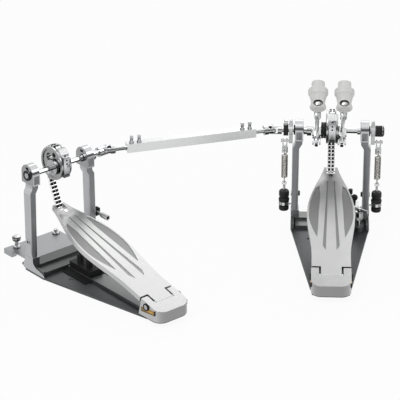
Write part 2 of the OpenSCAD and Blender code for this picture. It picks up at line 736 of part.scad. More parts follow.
module spring_rod_shape(side) {
  hole_r = wire_r + 1;
  color(black) translate([side * spring_x, hook_y, 0]) difference() {
    union() {
      translate([0, 0, bracket_z - 16]) cylinder(r = 2, h = tab_z - bracket_z + 14);
      translate([0, 1.25, tab_z]) rotate([90, 0, 0]) cylinder(r = 4.4, h = 2.5);
      translate([0, 0, bracket_z]) sphere(r = ball_r);
      translate([0, 0, bracket_z]) along_x(-bracket_r + 1, 2 * bracket_r - 2, swivel_pin_r);
      translate([0, 0, bracket_z + bracket_h / 2 + 2.2]) cylinder(r = 7, h = 3);
      translate([0, 0, bracket_z]) rotate_extrude()
        polygon([[0, 8], [6.5, 8], [9, 10], [9, 13], [6.2, 17], [8.2, 20], [8.2, 23], [6, 25], [0, 25]]);
      translate([0, 0, bracket_z]) rotate_extrude()
        polygon([[0, -4.6], [5.4, -4.6], [8.6, -6], [8.6, -12], [7, -15], [0, -15]]);
    }
    translate([0, 5, low_eye_z - eye_r - hole_r + wire_r + thin]) rotate([90, 0, 0]) cylinder(r = hole_r, h = 10);
  }
}

module brackets_shape() {
  color(bright) for (s = [-1, 1]) translate([s * spring_x, hook_y, bracket_z]) difference() {
    union() {
      translate([0, 0, -bracket_h / 2]) cylinder(r = bracket_r, h = bracket_h);
      box(s > 0 ? post_out - spring_x : 7, s > 0 ? -7 : spring_x - post_out, -5, 5, -bracket_h / 2 + 0.6, bracket_h / 2 - 0.6);
    }
    sphere(r = ball_r + 0.1);
    along_x(-bracket_r + 0.9, 2 * bracket_r - 1.8, swivel_pin_r + run_gap);
    translate([0, 0, -5]) cylinder(r = 4.4, h = 10);
  }
}

// The spring's wire runs as one line: lower eye, curls and upper eye.
curl_steps = 8;
coil_count = coil_turns * curl_steps;
eye_steps = 8;

function helix_pt(i) =
  let (a = 90 + 360 * i / curl_steps, z = coil_z + coil_l * i / coil_count)
  [coil_r * cos(a), coil_r * sin(a), z];

function eye_pt(i, zc, up) =
  let (a = 15 + 225 * i / eye_steps)
  [0, eye_r * cos(a), zc + up * eye_r * sin(a)];

lower_eye = [for (i = [eye_steps:-1:0]) eye_pt(i, low_eye_z, -1)];
upper_eye = [for (i = [0:eye_steps]) eye_pt(i, top_eye_z, 1)];
coil_line = [for (i = [0:coil_count]) helix_pt(i)];
wire_line = concat(
  lower_eye, [[0, coil_r, coil_z - 1.6]],
  [for (p = coil_line) p],
  [[0, coil_r, coil_top + 1.6]], upper_eye
);

function unit(v) = v / norm(v);
function line_dir(pts, i) = unit(pts[min(i + 1, len(pts) - 1)] - pts[max(i - 1, 0)]);

// carries a side direction along the line without twist
function carry(pts, i, u) =
  let (t = line_dir(pts, i), v = unit(u - (u * t) * t))
  i == len(pts) - 1 ? [v] : concat([v], carry(pts, i + 1, v));

module tube_along(pts, r) {
  n = len(pts);
  sides = carry(pts, 0, [1, 0, 0]);
  ring = [for (i = [0:n - 1]) let (t = line_dir(pts, i), u = sides[i], w = cross(t, u))
    for (k = [0:5]) pts[i] + r * (cos(60 * k) * u + sin(60 * k) * w)];
  walls = [for (i = [0:n - 2]) for (k = [0:5]) let (a = i * 6 + k, b = i * 6 + (k + 1) % 6)
    each [[a, b + 6, b], [a, a + 6, b + 6]]];
  ends = concat([for (k = [1:4]) [0, k, k + 1]], [for (k = [1:4]) let (e = (n - 1) * 6) [e, e + k + 1, e + k]]);
  polyhedron(points = ring, faces = concat(walls, ends), convexity = 20);
}

module coil_shape(side) {
  color(bright) translate([side * spring_x, hook_y, 0]) tube_along(wire_line, wire_r);
}

wire_gap = min([for (i = [0:len(wire_line) - 1]) for (j = [i + 6:1:len(wire_line) - 1]) norm(wire_line[i] - wire_line[j])]) - wire_d;
echo(least_gap_between_curls = wire_gap);

// Hoop clamp

module hoop_clamp_shape() {
  top = base_top + 15;
  color(dark) difference() {
    union() {
      box(-26, 26, 4, base_front_y + 2, top - 6, top);
      box(-26, 26, 4, 9.6, base_top + thin, top - 5.9);
      box(20, clamp_x, clamp_y, 28, top - 6, top);
      translate([clamp_x - 4, clamp_y + 6, top - 6]) cylinder(r = 12, h = 6);
    }
    translate([clamp_x, clamp_y, base_top]) cylinder(r = clamp_screw_r + 0.2, h = 30);
  }
}

module clamp_screw_shape() {
  top = base_top + 15;
  color(bright) translate([clamp_x, clamp_y, 0]) {
    translate([0, 0, base_top - 8]) cylinder(r = clamp_screw_r, h = 38);
    translate([0, 0, top + thin]) cylinder(r = 7, h = 9);
    rotate([0, 0, -40]) translate([-clamp_bar / 2, 0, top + 15]) rotate([0, 90, 0]) cylinder(r = 3, h = clamp_bar);
    translate([0, 0, top + 15]) sphere(r = 5.4);
  }
}

module clamp_knobs_shape() {
  top = base_top + 15;
  color(black) {
    translate([knob_x, 24, top]) cylinder(r = 2.4, h = 18);
    translate([knob_x, 24, top + 17]) cylinder(r = 4, h = 9);
    translate([knob_x + 7.4, 15.6, top]) cylinder(r = 2.6, h = 10);
    translate([knob_x + 7.4, 15.6, top + 13]) sphere(r = 6.2);
  }
}

// Slave pedal's own pieces

module toe_plate_shape() {
  color(steel) difference() {
    union() {
      box(-52, 58, 10.4, toe_plate_y, plate_t + 0.1, plate_t + 6);
      box(-62, -51, toe_plate_y - 24, toe_plate_y, 0, plate_t + 6);
      box(-52, 58, toe_plate_y - 3, toe_plate_y, 0, plate_t + 4);
    }
    for (x = [-42, 46]) translate([x, toe_plate_y - 12, -1]) cylinder(r = 4 + run_gap, h = 20);
  }
}

module thumbscrews_shape() {
  color(bright) for (x = [-42, 46]) translate([x, toe_plate_y - 12, 0]) {
    translate([0, 0, 0.6]) cylinder(r1 = 0.8, r2 = 4, h = 5);
    translate([0, 0, 5.6]) cylinder(r = 4, h = 28);
    translate([0, 0, plate_t + 6.1]) cylinder(r = 7, h = 4);
    translate([0, 0, 30]) cylinder(r = 10, h = 5);
  }
}

module key_clip_shape() {
  color(black) translate([post_out, -3, 72]) difference() {
    box(0.1, 13, -5, 5, -6, 8);
    translate([7.5, 10, 0]) rotate([90, 0, 0]) cylinder(r = 3.4 + run_gap, h = 20);
    box(5.4, 9.6, -6, 6, 0, 9);
  }
}

module drum_key_shape() {
  color(bright) translate([post_out + 7.5, -3, 72]) difference() {
    union() {
      translate([0, 14, 0]) rotate([90, 0, 0]) cylinder(r = 3.4, h = 34);
      translate([0, -18, 0]) rotate([90, 0, 0]) cylinder(r = 5, h = 16);
      translate([0, 12, 0]) cylinder(r = 3, h = 40, center = true);
    }
    box(-2.8, 2.8, -36, -24, -2.8, 2.8);
  }
}

// Drive shaft. Along the link X runs from the main joint to the slave joint on its negative side.

module ears(side, turn) {
  rotate([turn, 0, 0]) difference() {
    union() {
      for (s = [-1, 1]) intersection() {
        union() {
          translate([0, 0, s > 0 ? ear_in : -ear_out]) cylinder(r = ear_r, h = ear_out - ear_in);
          box(side > 0 ? 0 : -9.3, side > 0 ? 9.3 : 0, -ear_r, ear_r, s > 0 ? ear_in : -ear_out, s > 0 ? ear_out : -ear_in);
        }
        along_x(-12, 24, yoke_r);
      }
      along_x(side > 0 ? 9.2 : -17, 7.8, yoke_r);
    }
    cylinder(r = pin_r + cross_gap, h = 30, center = true);
  }
}

module cross_shape(bend) {
  cube([2 * cross_half - 1.6, 2 * cross_half - 1.6, 2 * cross_half], center = true);
  cylinder(r = pin_r, h = 2 * yoke_r - 0.8, center = true);
  rotate([0, 0, bend]) rotate([90, 0, 0]) cylinder(r = pin_r, h = 2 * yoke_r - 0.8, center = true);
  rotate([0, 0, bend]) rotate([90, 0, 0]) cylinder(r = 3.2, h = 2 * cross_half, center = true);
}

module slave_yoke_shape() {
  color(bright) at_slave() translate([slave_joint_x, 0, shaft_height]) difference() {
    ears(-1, 0);
    along_x(-30, 21, journal_r + run_gap);
  }
}

module main_yoke_shape() {
  color(bright) translate([-main_joint_x, 0, shaft_height]) difference() {
    ears(1, 0);
    along_x(9.1, 20, hex_r + run_gap);
  }
}

module slave_cross_shape() {
  color(steel) at_slave() translate([slave_joint_x, 0, shaft_height]) cross_shape(link_turn_z - slave_turn);
}

module main_cross_shape() {
  color(steel) translate([-main_joint_x, 0, shaft_height]) cross_shape(link_turn_z);
}

module main_link_rod_shape() {
  color(bright) at_link() {
    ears(-1, 90);
    along_x(-tube_from - rod_in_tube, tube_from + rod_in_tube - 10, link_rod_d / 2);
  }
}

module slave_link_rod_shape() {
  color(bright) at_link() translate([-link_len, 0, 0]) {
    ears(1, 90);
    along_x(10, slave_rod_show + rod_in_tube - 10, link_rod_d / 2);
  }
}

module drive_tube_shape() {
  w = tube_w / 2;
  color(steel) at_link() difference() {
    box(-tube_to, -tube_from, -w, w, -w, w);
    along_x(-tube_to - 1, tube_len + 2, link_rod_d / 2 + run_gap);
    for (x = [-tube_from - 10, -tube_from - 24, -tube_to + 24, -tube_to + 10])
      translate([x, 0, w - 0.8]) cylinder(r = 4.4, h = 3);
  }
}

module tube_bolts_shape() {
  w = tube_w / 2;
  color(bright) at_link() for (x = [-tube_from - 10, -tube_from - 24, -tube_to + 24, -tube_to + 10]) {
    translate([x, 0, w - 0.7]) cylinder(r = 4.2, h = 3.4);
    translate([x, 0, w]) cylinder(r = 2.9, h = 8);
    box(x - 2.6, x + 2.6, -2.6, 2.6, w + 7, w + 13);
  }
}

// Named pieces

module main_base() { base_shape(main_tail_half_w); }
module main_posts() { posts_shape(); }
module main_bearing_caps() { caps_shape(); }
module main_stop_pad() { pad_shape(); }
module main_heel() { heel_shape(); }
module main_hinge_pin() { heel_pin_shape(); }
module main_footboard() { footboard_shape(); }
module main_toe_pin() { toe_pin_shape(); }
module main_shaft() { main_shaft_shape(); }
module main_cam() { sprocket_shape(); }
module main_chain_run() { chain_run_shape(); }
module main_chain_lower() { chain_arc_shape(0, 2); }
module main_chain_upper() { chain_arc_shape(2, 4); }
module main_chain_wrap() { chain_arc_shape(4, 4 + wrap_links); }
module left_shaft() { left_shaft_shape(); }
module left_collar() { collar_shape(); }
module left_holder() { holder_shape(left_beater_x); }
module left_rod() { rod_shape(left_beater_x); }
module left_head() { head_shape(left_beater_x); }
module right_holder() { holder_shape(right_beater_x); }
module right_rod() { rod_shape(right_beater_x); }
module right_head() { head_shape(right_beater_x); }
module left_rocker() { rocker_shape(-1); }
module right_rocker() { rocker_shape(1); }
module left_stirrup() { stirrup_shape(-1); }
module right_stirrup() { stirrup_shape(1); }
module left_coil() { coil_shape(-1); }
module right_coil() { coil_shape(1); }
module left_spring_rod() { spring_rod_shape(-1); }
module right_spring_rod() { spring_rod_shape(1); }
module spring_brackets() { brackets_shape(); }
module hoop_clamp() { hoop_clamp_shape(); }
module clamp_screw() { clamp_screw_shape(); }
module clamp_knobs() { clamp_knobs_shape(); }
module slave_base() { at_slave() base_shape(slave_tail_half_w); }
module slave_posts() { at_slave() posts_shape(); }
module slave_bearing_caps() { at_slave() caps_shape(); }
module slave_stop_pad() { at_slave() pad_shape(); }
module slave_heel() { at_slave() heel_shape(); }
module slave_hinge_pin() { at_slave() heel_pin_shape(); }
module slave_footboard() { at_slave() footboard_shape(); }
module slave_toe_pin() { at_slave() toe_pin_shape(); }
module slave_shaft() { at_slave() slave_shaft_shape(); }
module slave_cam() { at_slave() sprocket_shape(); }
module slave_chain_run() { at_slave() chain_run_shape(); }
module slave_chain_lower() { at_slave() chain_arc_shape(0, 2); }
module slave_chain_upper() { at_slave() chain_arc_shape(2, 4); }
module slave_chain_wrap() { at_slave() chain_arc_shape(4, 4 + wrap_links); }
module slave_toe_plate() { at_slave() toe_plate_shape(); }
module slave_thumbscrews() { at_slave() thumbscrews_shape(); }
module slave_key_clip() { at_slave() key_clip_shape(); }
module drum_key() { at_slave() drum_key_shape(); }
module slave_yoke() { slave_yoke_shape(); }
module slave_cross() { slave_cross_shape(); }
module slave_link_rod() { slave_link_rod_shape(); }
module drive_tube() { drive_tube_shape(); }
module tube_bolts() { tube_bolts_shape(); }
module main_link_rod() { main_link_rod_shape(); }
module main_cross() { main_cross_shape(); }
module main_yoke() { main_yoke_shape(); }

main_base();
main_posts();
main_bearing_caps();
main_stop_pad();
main_heel();
main_hinge_pin();
main_footboard();
main_toe_pin();
main_shaft();
main_cam();
main_chain_run();
main_chain_lower();
main_chain_upper();
main_chain_wrap();
left_shaft();
left_collar();
left_holder();
left_rod();
left_head();
right_holder();
right_rod();
right_head();
left_rocker();
right_rocker();
left_stirrup();
right_stirrup();
left_coil();
right_coil();
left_spring_rod();
right_spring_rod();
spring_brackets();
hoop_clamp();
clamp_screw();
clamp_knobs();
slave_base();
slave_posts();
slave_bearing_caps();
slave_stop_pad();
slave_heel();
slave_hinge_pin();
slave_footboard();
slave_toe_pin();
slave_shaft();
slave_cam();
slave_chain_run();
slave_chain_lower();
slave_chain_upper();
slave_chain_wrap();
slave_toe_plate();
slave_thumbscrews();
slave_key_clip();
drum_key();
slave_yoke();
slave_cross();
slave_link_rod();
drive_tube();
tube_bolts();
main_link_rod();
main_cross();
main_yoke();
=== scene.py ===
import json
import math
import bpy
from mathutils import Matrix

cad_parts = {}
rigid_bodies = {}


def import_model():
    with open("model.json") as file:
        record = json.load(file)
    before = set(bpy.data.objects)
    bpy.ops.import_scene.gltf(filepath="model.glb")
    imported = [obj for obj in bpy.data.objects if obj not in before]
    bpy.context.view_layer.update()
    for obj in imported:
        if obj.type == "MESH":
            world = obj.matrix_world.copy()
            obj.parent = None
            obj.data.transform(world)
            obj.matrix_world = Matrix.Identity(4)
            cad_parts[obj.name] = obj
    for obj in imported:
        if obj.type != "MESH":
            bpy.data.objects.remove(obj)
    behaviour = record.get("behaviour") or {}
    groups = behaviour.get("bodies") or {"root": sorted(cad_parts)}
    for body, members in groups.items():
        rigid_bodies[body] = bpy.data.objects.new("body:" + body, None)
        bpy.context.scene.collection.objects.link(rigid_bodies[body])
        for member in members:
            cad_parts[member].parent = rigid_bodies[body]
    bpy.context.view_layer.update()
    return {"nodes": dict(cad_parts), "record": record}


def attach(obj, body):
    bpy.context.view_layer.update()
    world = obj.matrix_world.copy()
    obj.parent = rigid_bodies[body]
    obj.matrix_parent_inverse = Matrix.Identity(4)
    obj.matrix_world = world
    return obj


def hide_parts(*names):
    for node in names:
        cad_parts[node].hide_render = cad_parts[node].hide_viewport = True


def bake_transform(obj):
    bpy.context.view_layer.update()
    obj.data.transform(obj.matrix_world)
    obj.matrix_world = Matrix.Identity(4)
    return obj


bl_info = {
    "name": "Double bass drum pedal",
    "version": (1, 0, 0),
    "blender": (4, 5, 0),
    "location": "View3D > Sidebar > Pedal",
    "description": "Dresses the double bass drum pedal: finishes, beater heads, springs, knobs and the stage",
    "category": "Object",
}

import bmesh
import bpy
from mathutils import Matrix, Vector

for starter in list(bpy.data.objects):
    bpy.data.objects.remove(starter)
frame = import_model()
MM = 0.001
FINISHES = {}


# Places and sizes that the solids share, in millimetres and degrees

SHAFT = 185
SLAVE_TURN = 43
HINGE_Y, HINGE_Z, BOARD_SLOPE = -285.7, 31.6, 13.57
TOE_RUN, TOE_RISE = 294.8, 2.3
BOARD_TOP, LEAF_FLOOR, GROOVE_FLOOR = 7.7, 6.5, 6.7
HEEL_SIDE = 35
CAM_Y, CAM_Z, CHAIN_RADIUS = 5, 190, 29
CHAIN_ANGLE, CHAIN_PITCH, CHAIN_ROW = 22.52, 6.8459, 3.1
RUN_LINKS, WRAP_LINKS = 12, range(4, 9)
SPRING_X, SPRING_Y, SPRING_LOW, SPRING_EYE = 85, -4, 92.0, 4.6
BRACKET_Z, LOW_EYE_Z = 41, 80.2
BEATERS = (("left", -28.0), ("right", 18.2))
HEAD_REACH, ROD_BACK = 144, -10.2
SPRING_GAP, TURN_STEPS = 0.75, 28
RAIL_HEIGHTS, STEP_HEIGHTS = (8.7, 9.3), (10.4, 16.3)
COLLAR_X = -83.6
EDGE_ANGLE = 28.0

# Distances in metres

SKIN_LIFT = 0.00003
WELD, FINE_WELD = 0.000005, 0.000002


def at(x, y, z):
    """A place in millimetres."""
    return Matrix.Translation((x * MM, y * MM, z * MM))


def turned(degrees, axis):
    return Matrix.Rotation(math.radians(degrees), 4, axis)


SLAVE = at(-480.9, -177.9, 0) @ turned(SLAVE_TURN, "Z")
PEDALS = (("main", Matrix.Identity(4)), ("slave", SLAVE))
BOARD = at(0, HINGE_Y, HINGE_Z) @ turned(BOARD_SLOPE, "X")


# Shader readings


class Reading:
    """A number that varies over a surface. Sums and products of it add Math nodes."""

    def __init__(self, nodes, socket):
        self.nodes = nodes
        self.socket = socket

    def _with(self, operation, a, b):
        return self.nodes.read("ShaderNodeMath", {"operation": operation}, {0: a, 1: b})

    def __add__(self, other):
        return self._with("ADD", self, other)

    def __radd__(self, other):
        return self._with("ADD", other, self)

    def __sub__(self, other):
        return self._with("SUBTRACT", self, other)

    def __rsub__(self, other):
        return self._with("SUBTRACT", other, self)

    def __mul__(self, other):
        return self._with("MULTIPLY", self, other)

    def __rmul__(self, other):
        return self._with("MULTIPLY", other, self)

    def __abs__(self):
        return self._with("ABSOLUTE", self, 0.0)


class Nodes:
    """A node tree that starts empty."""

    def __init__(self, tree):
        self.tree = tree
        tree.nodes.clear()

    def node(self, kind, settings=None, sockets=None):
        """Adds one node, gives it its settings, then the values or links of its sockets."""
        made = self.tree.nodes.new(kind)
        for key, value in (settings or {}).items():
            if key == "stops":
                stops = made.color_ramp.elements
                stops[0].position, stops[1].position = value[0][0], value[-1][0]
                for position, _ in value[1:-1]:
                    stops.new(position)
                for stop, (_, tone) in zip(stops, value):
                    stop.color = (tone, tone, tone, 1)
            else:
                setattr(made, key, value)
        for key, value in (sockets or {}).items():
            link = value.socket if isinstance(value, Reading) else value
            if isinstance(link, bpy.types.NodeSocket):
                self.tree.links.new(link, made.inputs[key])
            else:
                made.inputs[key].default_value = value
        return made

    def read(self, kind, settings=None, sockets=None, out=0):
        return Reading(self, self.node(kind, settings, sockets).outputs[out])


class Finish(Nodes):
    """A material and the nodes that it is made of."""

    def __init__(self, name):
        self.material = bpy.data.materials.new(name)
        self.material.use_nodes = True
        super().__init__(self.material.node_tree)
        self.place = self.node("ShaderNodeTexCoord").outputs["Object"]

    def noise(self, scale, detail=2.0, stretch=(1, 1, 1), turn=0.0):
        """Noise of about 1/scale metres, drawn out along an axis by a small stretch there."""
        sockets = {"Vector": self.place, "Rotation": (0, 0, turn), "Scale": stretch}
        where = self.node("ShaderNodeMapping", sockets=sockets).outputs[0]
        return self.read("ShaderNodeTexNoise", {}, {"Vector": where, "Scale": scale, "Detail": detail})

    def ramp(self, value, stops):
        return self.read("ShaderNodeValToRGB", {"stops": stops}, {0: value})

    def dot(self, vector, axis):
        sockets = {0: vector, 1: tuple(axis)}
        return self.read("ShaderNodeVectorMath", {"operation": "DOT_PRODUCT"}, sockets, 1)

    def facing(self, axis):
        """How far the surface faces along an axis, from -1 to 1."""
        return self.dot(self.node("ShaderNodeTexCoord").outputs["Normal"], axis)

    def along(self, axis, low, high):
        """Where a point lies between two distances along an axis, from 0 to 1."""
        reach = self.dot(self.place, axis)
        return self.read("ShaderNodeMapRange", {}, {"Value": reach, "From Min": low, "From Max": high})

    def blend(self, factor, a, b):
        """A colour between a and b."""
        return self.node("ShaderNodeMix", {"data_type": "RGBA"}, {0: factor, 6: (*a, 1), 7: (*b, 1)}).outputs[2]

    def surface(self, base, rough, metal, relief, depth, **fixed):
        """The finish itself, with a relief of a depth in metres and any fixed values of the shader."""
        sockets = {"Base Color": base, "Roughness": rough, "Metallic": metal}
        sockets.update({key.replace("_", " "): value for key, value in fixed.items()})
        bump = self.node("ShaderNodeBump", sockets={"Height": relief, "Distance": depth, "Strength": 1.0})
        sockets["Normal"] = bump.outputs[0]
        shader = self.node("ShaderNodeBsdfPrincipled", sockets=sockets)
        self.node("ShaderNodeOutputMaterial", sockets={"Surface": shader.outputs[0]})
        return self.material


def shade(colour, amount):
    """A colour made darker or lighter, never above white."""
    return tuple(min(1.0, c * amount) for c in colour)


def kept(name, build):
    """The finish of that name, made once."""
    if name not in FINISHES:
        FINISHES[name] = build(Finish(name))
    return FINISHES[name]


# Finishes

UP = (0, 0, 1)
CLOUD, PEBBLE = (45, 3), (1500, 2)
LINES = (0.04, 1, 1)
TUBE_TURN = -0.345


def axis_of(side):
    """The direction across a pedal, which its shaft follows."""
    turn = math.radians(SLAVE_TURN if side == "slave" else 0)
    return (math.cos(turn), math.sin(turn), 0)


def cast_metal(colour):
    """Blasted and clear coated casting: fine pebbled skin and soft cloudy shade."""

    def build(f):
        cloud = f.noise(*CLOUD)
        pebble = f.noise(*PEBBLE)
        base = f.blend(cloud * 0.7 + pebble * 0.3, shade(colour, 0.86), shade(colour, 1.1))
        return f.surface(base, 0.38 + cloud * 0.12 - 0.04, 1.0, pebble, 0.00006)

    return build


def board_metal(colour, side, painted_reflection_tones, rough=0.34):
    """Blasted casting of a footboard or heel, with a painted reflection that is light at the heel and darker at
    the toe, and painted shade on faces that turn towards the heel.
    """
    across = axis_of(side)
    level = (-across[1], across[0], 0)
    middle = Vector(SLAVE.translation if side == "slave" else (0, 0, 0)).dot(Vector(level))
    length = 0.32

    def build(f):
        cloud = f.noise(*CLOUD)
        pebble = f.noise(*PEBBLE)
        # Painted reflection: the colour falls off from the heel towards the toe; faces that turn towards the
        # heel get painted shade.
        reach = f.ramp(f.along(level, middle - length, middle), painted_reflection_tones)
        front = f.ramp(f.facing(level) * -1.0, [(0.0, 1.0), (0.45, 1.0), (0.8, 0.72), (1.0, 0.62)])
        grain = 0.88 + cloud * 0.14 + pebble * 0.1
        base = f.blend(reach * front * grain, (0.0, 0.0, 0.0), colour)
        return f.surface(base, rough + cloud * 0.12 - 0.04, 1.0, pebble, 0.00006)

    return build


def drawn_metal(colour, rough):
    """Satin metal with fine lines left along it by drawing or brushing."""

    def build(f):
        lines = f.noise(1800, 2, LINES)
        cloud = f.noise(30, 2)
        base = f.blend(lines * 0.6 + cloud * 0.4, shade(colour, 0.9), shade(colour, 1.07))
        return f.surface(base, rough + lines * 0.14 - 0.05, 1.0, lines, 0.00002)

    return build


def tube_metal(colour):
    """Drawn square tube with fine lines along it, light on its flat faces and darkened at its rounded corners by
    painted shade.
    """

    def build(f):
        lines = f.noise(1800, 2, LINES, TUBE_TURN)
        # Painted shade: faces that lie between flat and upright, at the rounded corners, are darkened.
        corner = f.ramp(
            abs(f.facing(UP)), [(0.0, 0.92), (0.12, 0.9), (0.3, 0.35), (0.7, 0.3), (0.93, 0.85), (1.0, 0.86)]
        )
        base = f.blend(corner * (0.92 + lines * 0.1), shade(colour, 0.05), colour)
        return f.surface(base, 0.24 + lines * 0.12, 1.0, lines, 0.00002)

    return build


def painted_studio_bands(f, across):
    """Painted reflections: the light and dark bands that polished metal takes from soft boxes and dark cards,
    set by which way the surface faces.
    """
    up = f.ramp(
        f.facing(UP) * 0.5 + 0.5,
        [(0.0, 0.02), (0.3, 0.04), (0.42, 0.12), (0.48, 0.6), (0.52, 0.85), (0.56, 0.7),
         (0.62, 0.08), (0.7, 0.14), (0.76, 0.8), (0.9, 1.0), (1.0, 0.85)],
    )
    side = f.ramp(
        abs(f.facing(across)), [(0.0, 1.0), (0.3, 0.92), (0.5, 0.16), (0.66, 0.85), (0.84, 0.22), (1.0, 0.62)]
    )
    return up * side


def plated_metal(colour, rough, across=(1, 0, 0)):
    """Polished plate with faint smears and pits, and painted reflection bands that darken its colour towards
    black by which way the surface faces.
    """

    def build(f):
        smear = f.noise(60, 3)
        pits = f.ramp(f.noise(900, 1), [(0.0, 0.0), (0.27, 0.0), (0.33, 1.0)])
        # Painted reflection: the colour runs from near black to the plate's colour through the painted bands.
        base = f.blend(painted_studio_bands(f, across) * (0.9 + pits * 0.1), shade(colour, 0.03), colour)
        return f.surface(base, rough + smear * 0.12, 1.0, pits, 0.00001)

    return build


def column_metal(colour, dark, across):
    """Blasted casting of the posts, with painted light: dark flat faces, lighter rounded edges and lighter tops.
    """

    def build(f):
        pebble = f.noise(*PEBBLE)
        cloud = f.noise(*CLOUD)
        # Painted light: faces that turn across the pedal, at the rounded edges, are lightened, and faces that
        # turn up are lightened too.
        rounded = f.ramp(abs(f.facing(across)), [(0.0, 0.2), (0.2, 0.14), (0.5, 0.8), (0.8, 0.9), (1.0, 0.8)])
        top = f.ramp(f.facing(UP), [(0.0, 0.0), (0.3, 0.0), (0.9, 0.6)])
        base = f.blend(rounded + top + cloud * 0.12 + pebble * 0.06 - 0.08, dark, colour)
        return f.surface(base, 0.36 + cloud * 0.12, 1.0, pebble, 0.00005)

    return build


def painted_metal(colour, rough):
    """Sprayed steel with a slight orange peel and rubbed places."""

    def build(f):
        peel = f.noise(420, 2)
        rub = f.ramp(f.noise(38, 5), [(0.0, 0.0), (0.56, 0.0), (0.72, 1.0)])
        base = f.blend(rub * 0.5 + peel * 0.25, colour, shade(colour, 1.35))
        return f.surface(base, rough + peel * 0.1 + rub * 0.08, 0.75, peel, 0.00004)

    return build


def moulded(colour):
    """Moulded plastic with spark grain and faint scuffs."""

    def build(f):
        grain = f.noise(2200, 1)
        scuff = f.ramp(f.noise(120, 4, (1, 0.2, 1)), [(0.0, 0.0), (0.6, 0.0), (0.75, 1.0)])
        worn = tuple(min(1.0, c + 0.05) for c in colour)
        base = f.blend(scuff * 0.35 + grain * 0.15, colour, worn)
        return f.surface(base, 0.42 + grain * 0.1 + scuff * 0.1, 0.0, grain, 0.00004, Specular_IOR_Level=0.2)

    return build


def rubber(colour):
    """Dull rubber with a fine grain."""

    def build(f):
        grain = f.noise(900, 3)
        base = f.blend(grain, shade(colour, 0.8), shade(colour, 1.25))
        return f.surface(base, 0.62 + grain * 0.18, 0.0, grain, 0.00012, Specular_IOR_Level=0.15)

    return build


def head_plastic(colour):
    """Dense pale plastic of the beater heads, with flow lines and small knocks."""

    def build(f):
        flow = f.noise(70, 4, (1, 0.35, 1))
        knocks = f.ramp(f.noise(260, 2), [(0.0, 0.0), (0.25, 0.0), (0.32, 1.0)])
        base = f.blend(flow * 0.6 + knocks * 0.4, shade(colour, 0.9), shade(colour, 1.04))
        return f.surface(base, 0.36 + flow * 0.12, 0.0, knocks, 0.00005, Coat_Weight=0.15, Coat_Roughness=0.2)

    return build


# Shapes


def finished(bm, name, body, material, angle=35.0, replaces=()):
    """Turns a bmesh into a piece that rides on a body. Its place is in its mesh."""
    mesh = bpy.data.meshes.new(name)
    bm.to_mesh(mesh)
    bm.free()
    return placed(mesh, name, body, material, angle, replaces)


def placed(mesh, name, body, material, angle=35.0, replaces=()):
    mesh.polygons.foreach_set("use_smooth", [True] * len(mesh.polygons))
    mesh.set_sharp_from_angle(angle=math.radians(angle))
    piece = bpy.data.objects.new(name, mesh)
    bpy.context.scene.collection.objects.link(piece)
    mesh.materials.clear()
    mesh.materials.append(material)
    if body:
        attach(piece, body)
    if replaces:
        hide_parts(*replaces)
    return piece


def flat_lit(piece):
    """Lets the large faces of a piece set its shading, so that they stay flat."""
    evened = piece.modifiers.new("flat_lit", "WEIGHTED_NORMAL")
    evened.keep_sharp = True
    evened.weight = 80
    return piece


def body_of_node(node):
    for body, members in frame["record"]["behaviour"]["bodies"].items():
        if node in members:
            return body
    raise ValueError("no body holds " + node)


def joined(mesh):
    """The loose triangles of a mesh, joined into flat faces."""
    bm = bmesh.new()
    bm.from_mesh(mesh)
    bmesh.ops.remove_doubles(bm, verts=bm.verts, dist=WELD)
    bmesh.ops.dissolve_limit(bm, angle_limit=math.radians(0.6), verts=bm.verts, edges=bm.edges)
    return bm


def merged(node):
    """A copy of a solid with its triangles joined into flat faces."""
    return joined(frame["nodes"][node].data)


def round_off(piece, width, segments=2):
    """Rounds the sharp edges of a piece, with the flat faces left flat."""
    rounding = piece.modifiers.new("rounding", "BEVEL")
    rounding.width = width
    rounding.segments = segments
    rounding.limit_method = "ANGLE"
    rounding.angle_limit = math.radians(EDGE_ANGLE)
    rounding.harden_normals = True
    rounding.use_clamp_overlap = True
    return piece


def sharp(edge):
    return edge.calc_face_angle(0.0) > math.radians(EDGE_ANGLE)


def eased(node, width, material, segments=2, wide=0.0, longer=0.0):
    """Replaces a solid with a copy whose sharp edges are rounded over, its long ones more widely."""
    bm = merged(node)
    if wide:
        long_edges = [e for e in bm.edges if e.is_manifold and sharp(e) and e.calc_length() >= longer]
        bmesh.ops.bevel(
            bm, geom=long_edges, offset=wide, offset_type="OFFSET", affect="EDGES", segments=4,
            profile=0.5, material=-1, clamp_overlap=False,
        )
    piece = finished(bm, node + "_eased", body_of_node(node), material, 40.0, (node,))
    return round_off(piece, width, segments)


def skin(node, name, material, place, low, high):
    """A thin finish on the faces of a solid that face up and lie between two heights of a place."""
    bm = bmesh.new()
    bm.from_mesh(frame["nodes"][node].data)
    bmesh.ops.remove_doubles(bm, verts=bm.verts, dist=WELD)
    back = place.inverted()
    up = (place.to_3x3() @ Vector(UP)).normalized()
    others = [
        f for f in bm.faces
        if f.normal.dot(up) < 0.98 or not low * MM <= (back @ f.calc_center_median()).z <= high * MM
    ]
    bmesh.ops.delete(bm, geom=others, context="FACES")
    bmesh.ops.translate(bm, verts=bm.verts, vec=up * SKIN_LIFT)
    return finished(bm, name, body_of_node(node), material)


def finish_node(node, material):
    """Gives a solid that already has its real shape its finish."""
    mesh = frame["nodes"][node].data
    mesh.materials.clear()
    mesh.materials.append(material)


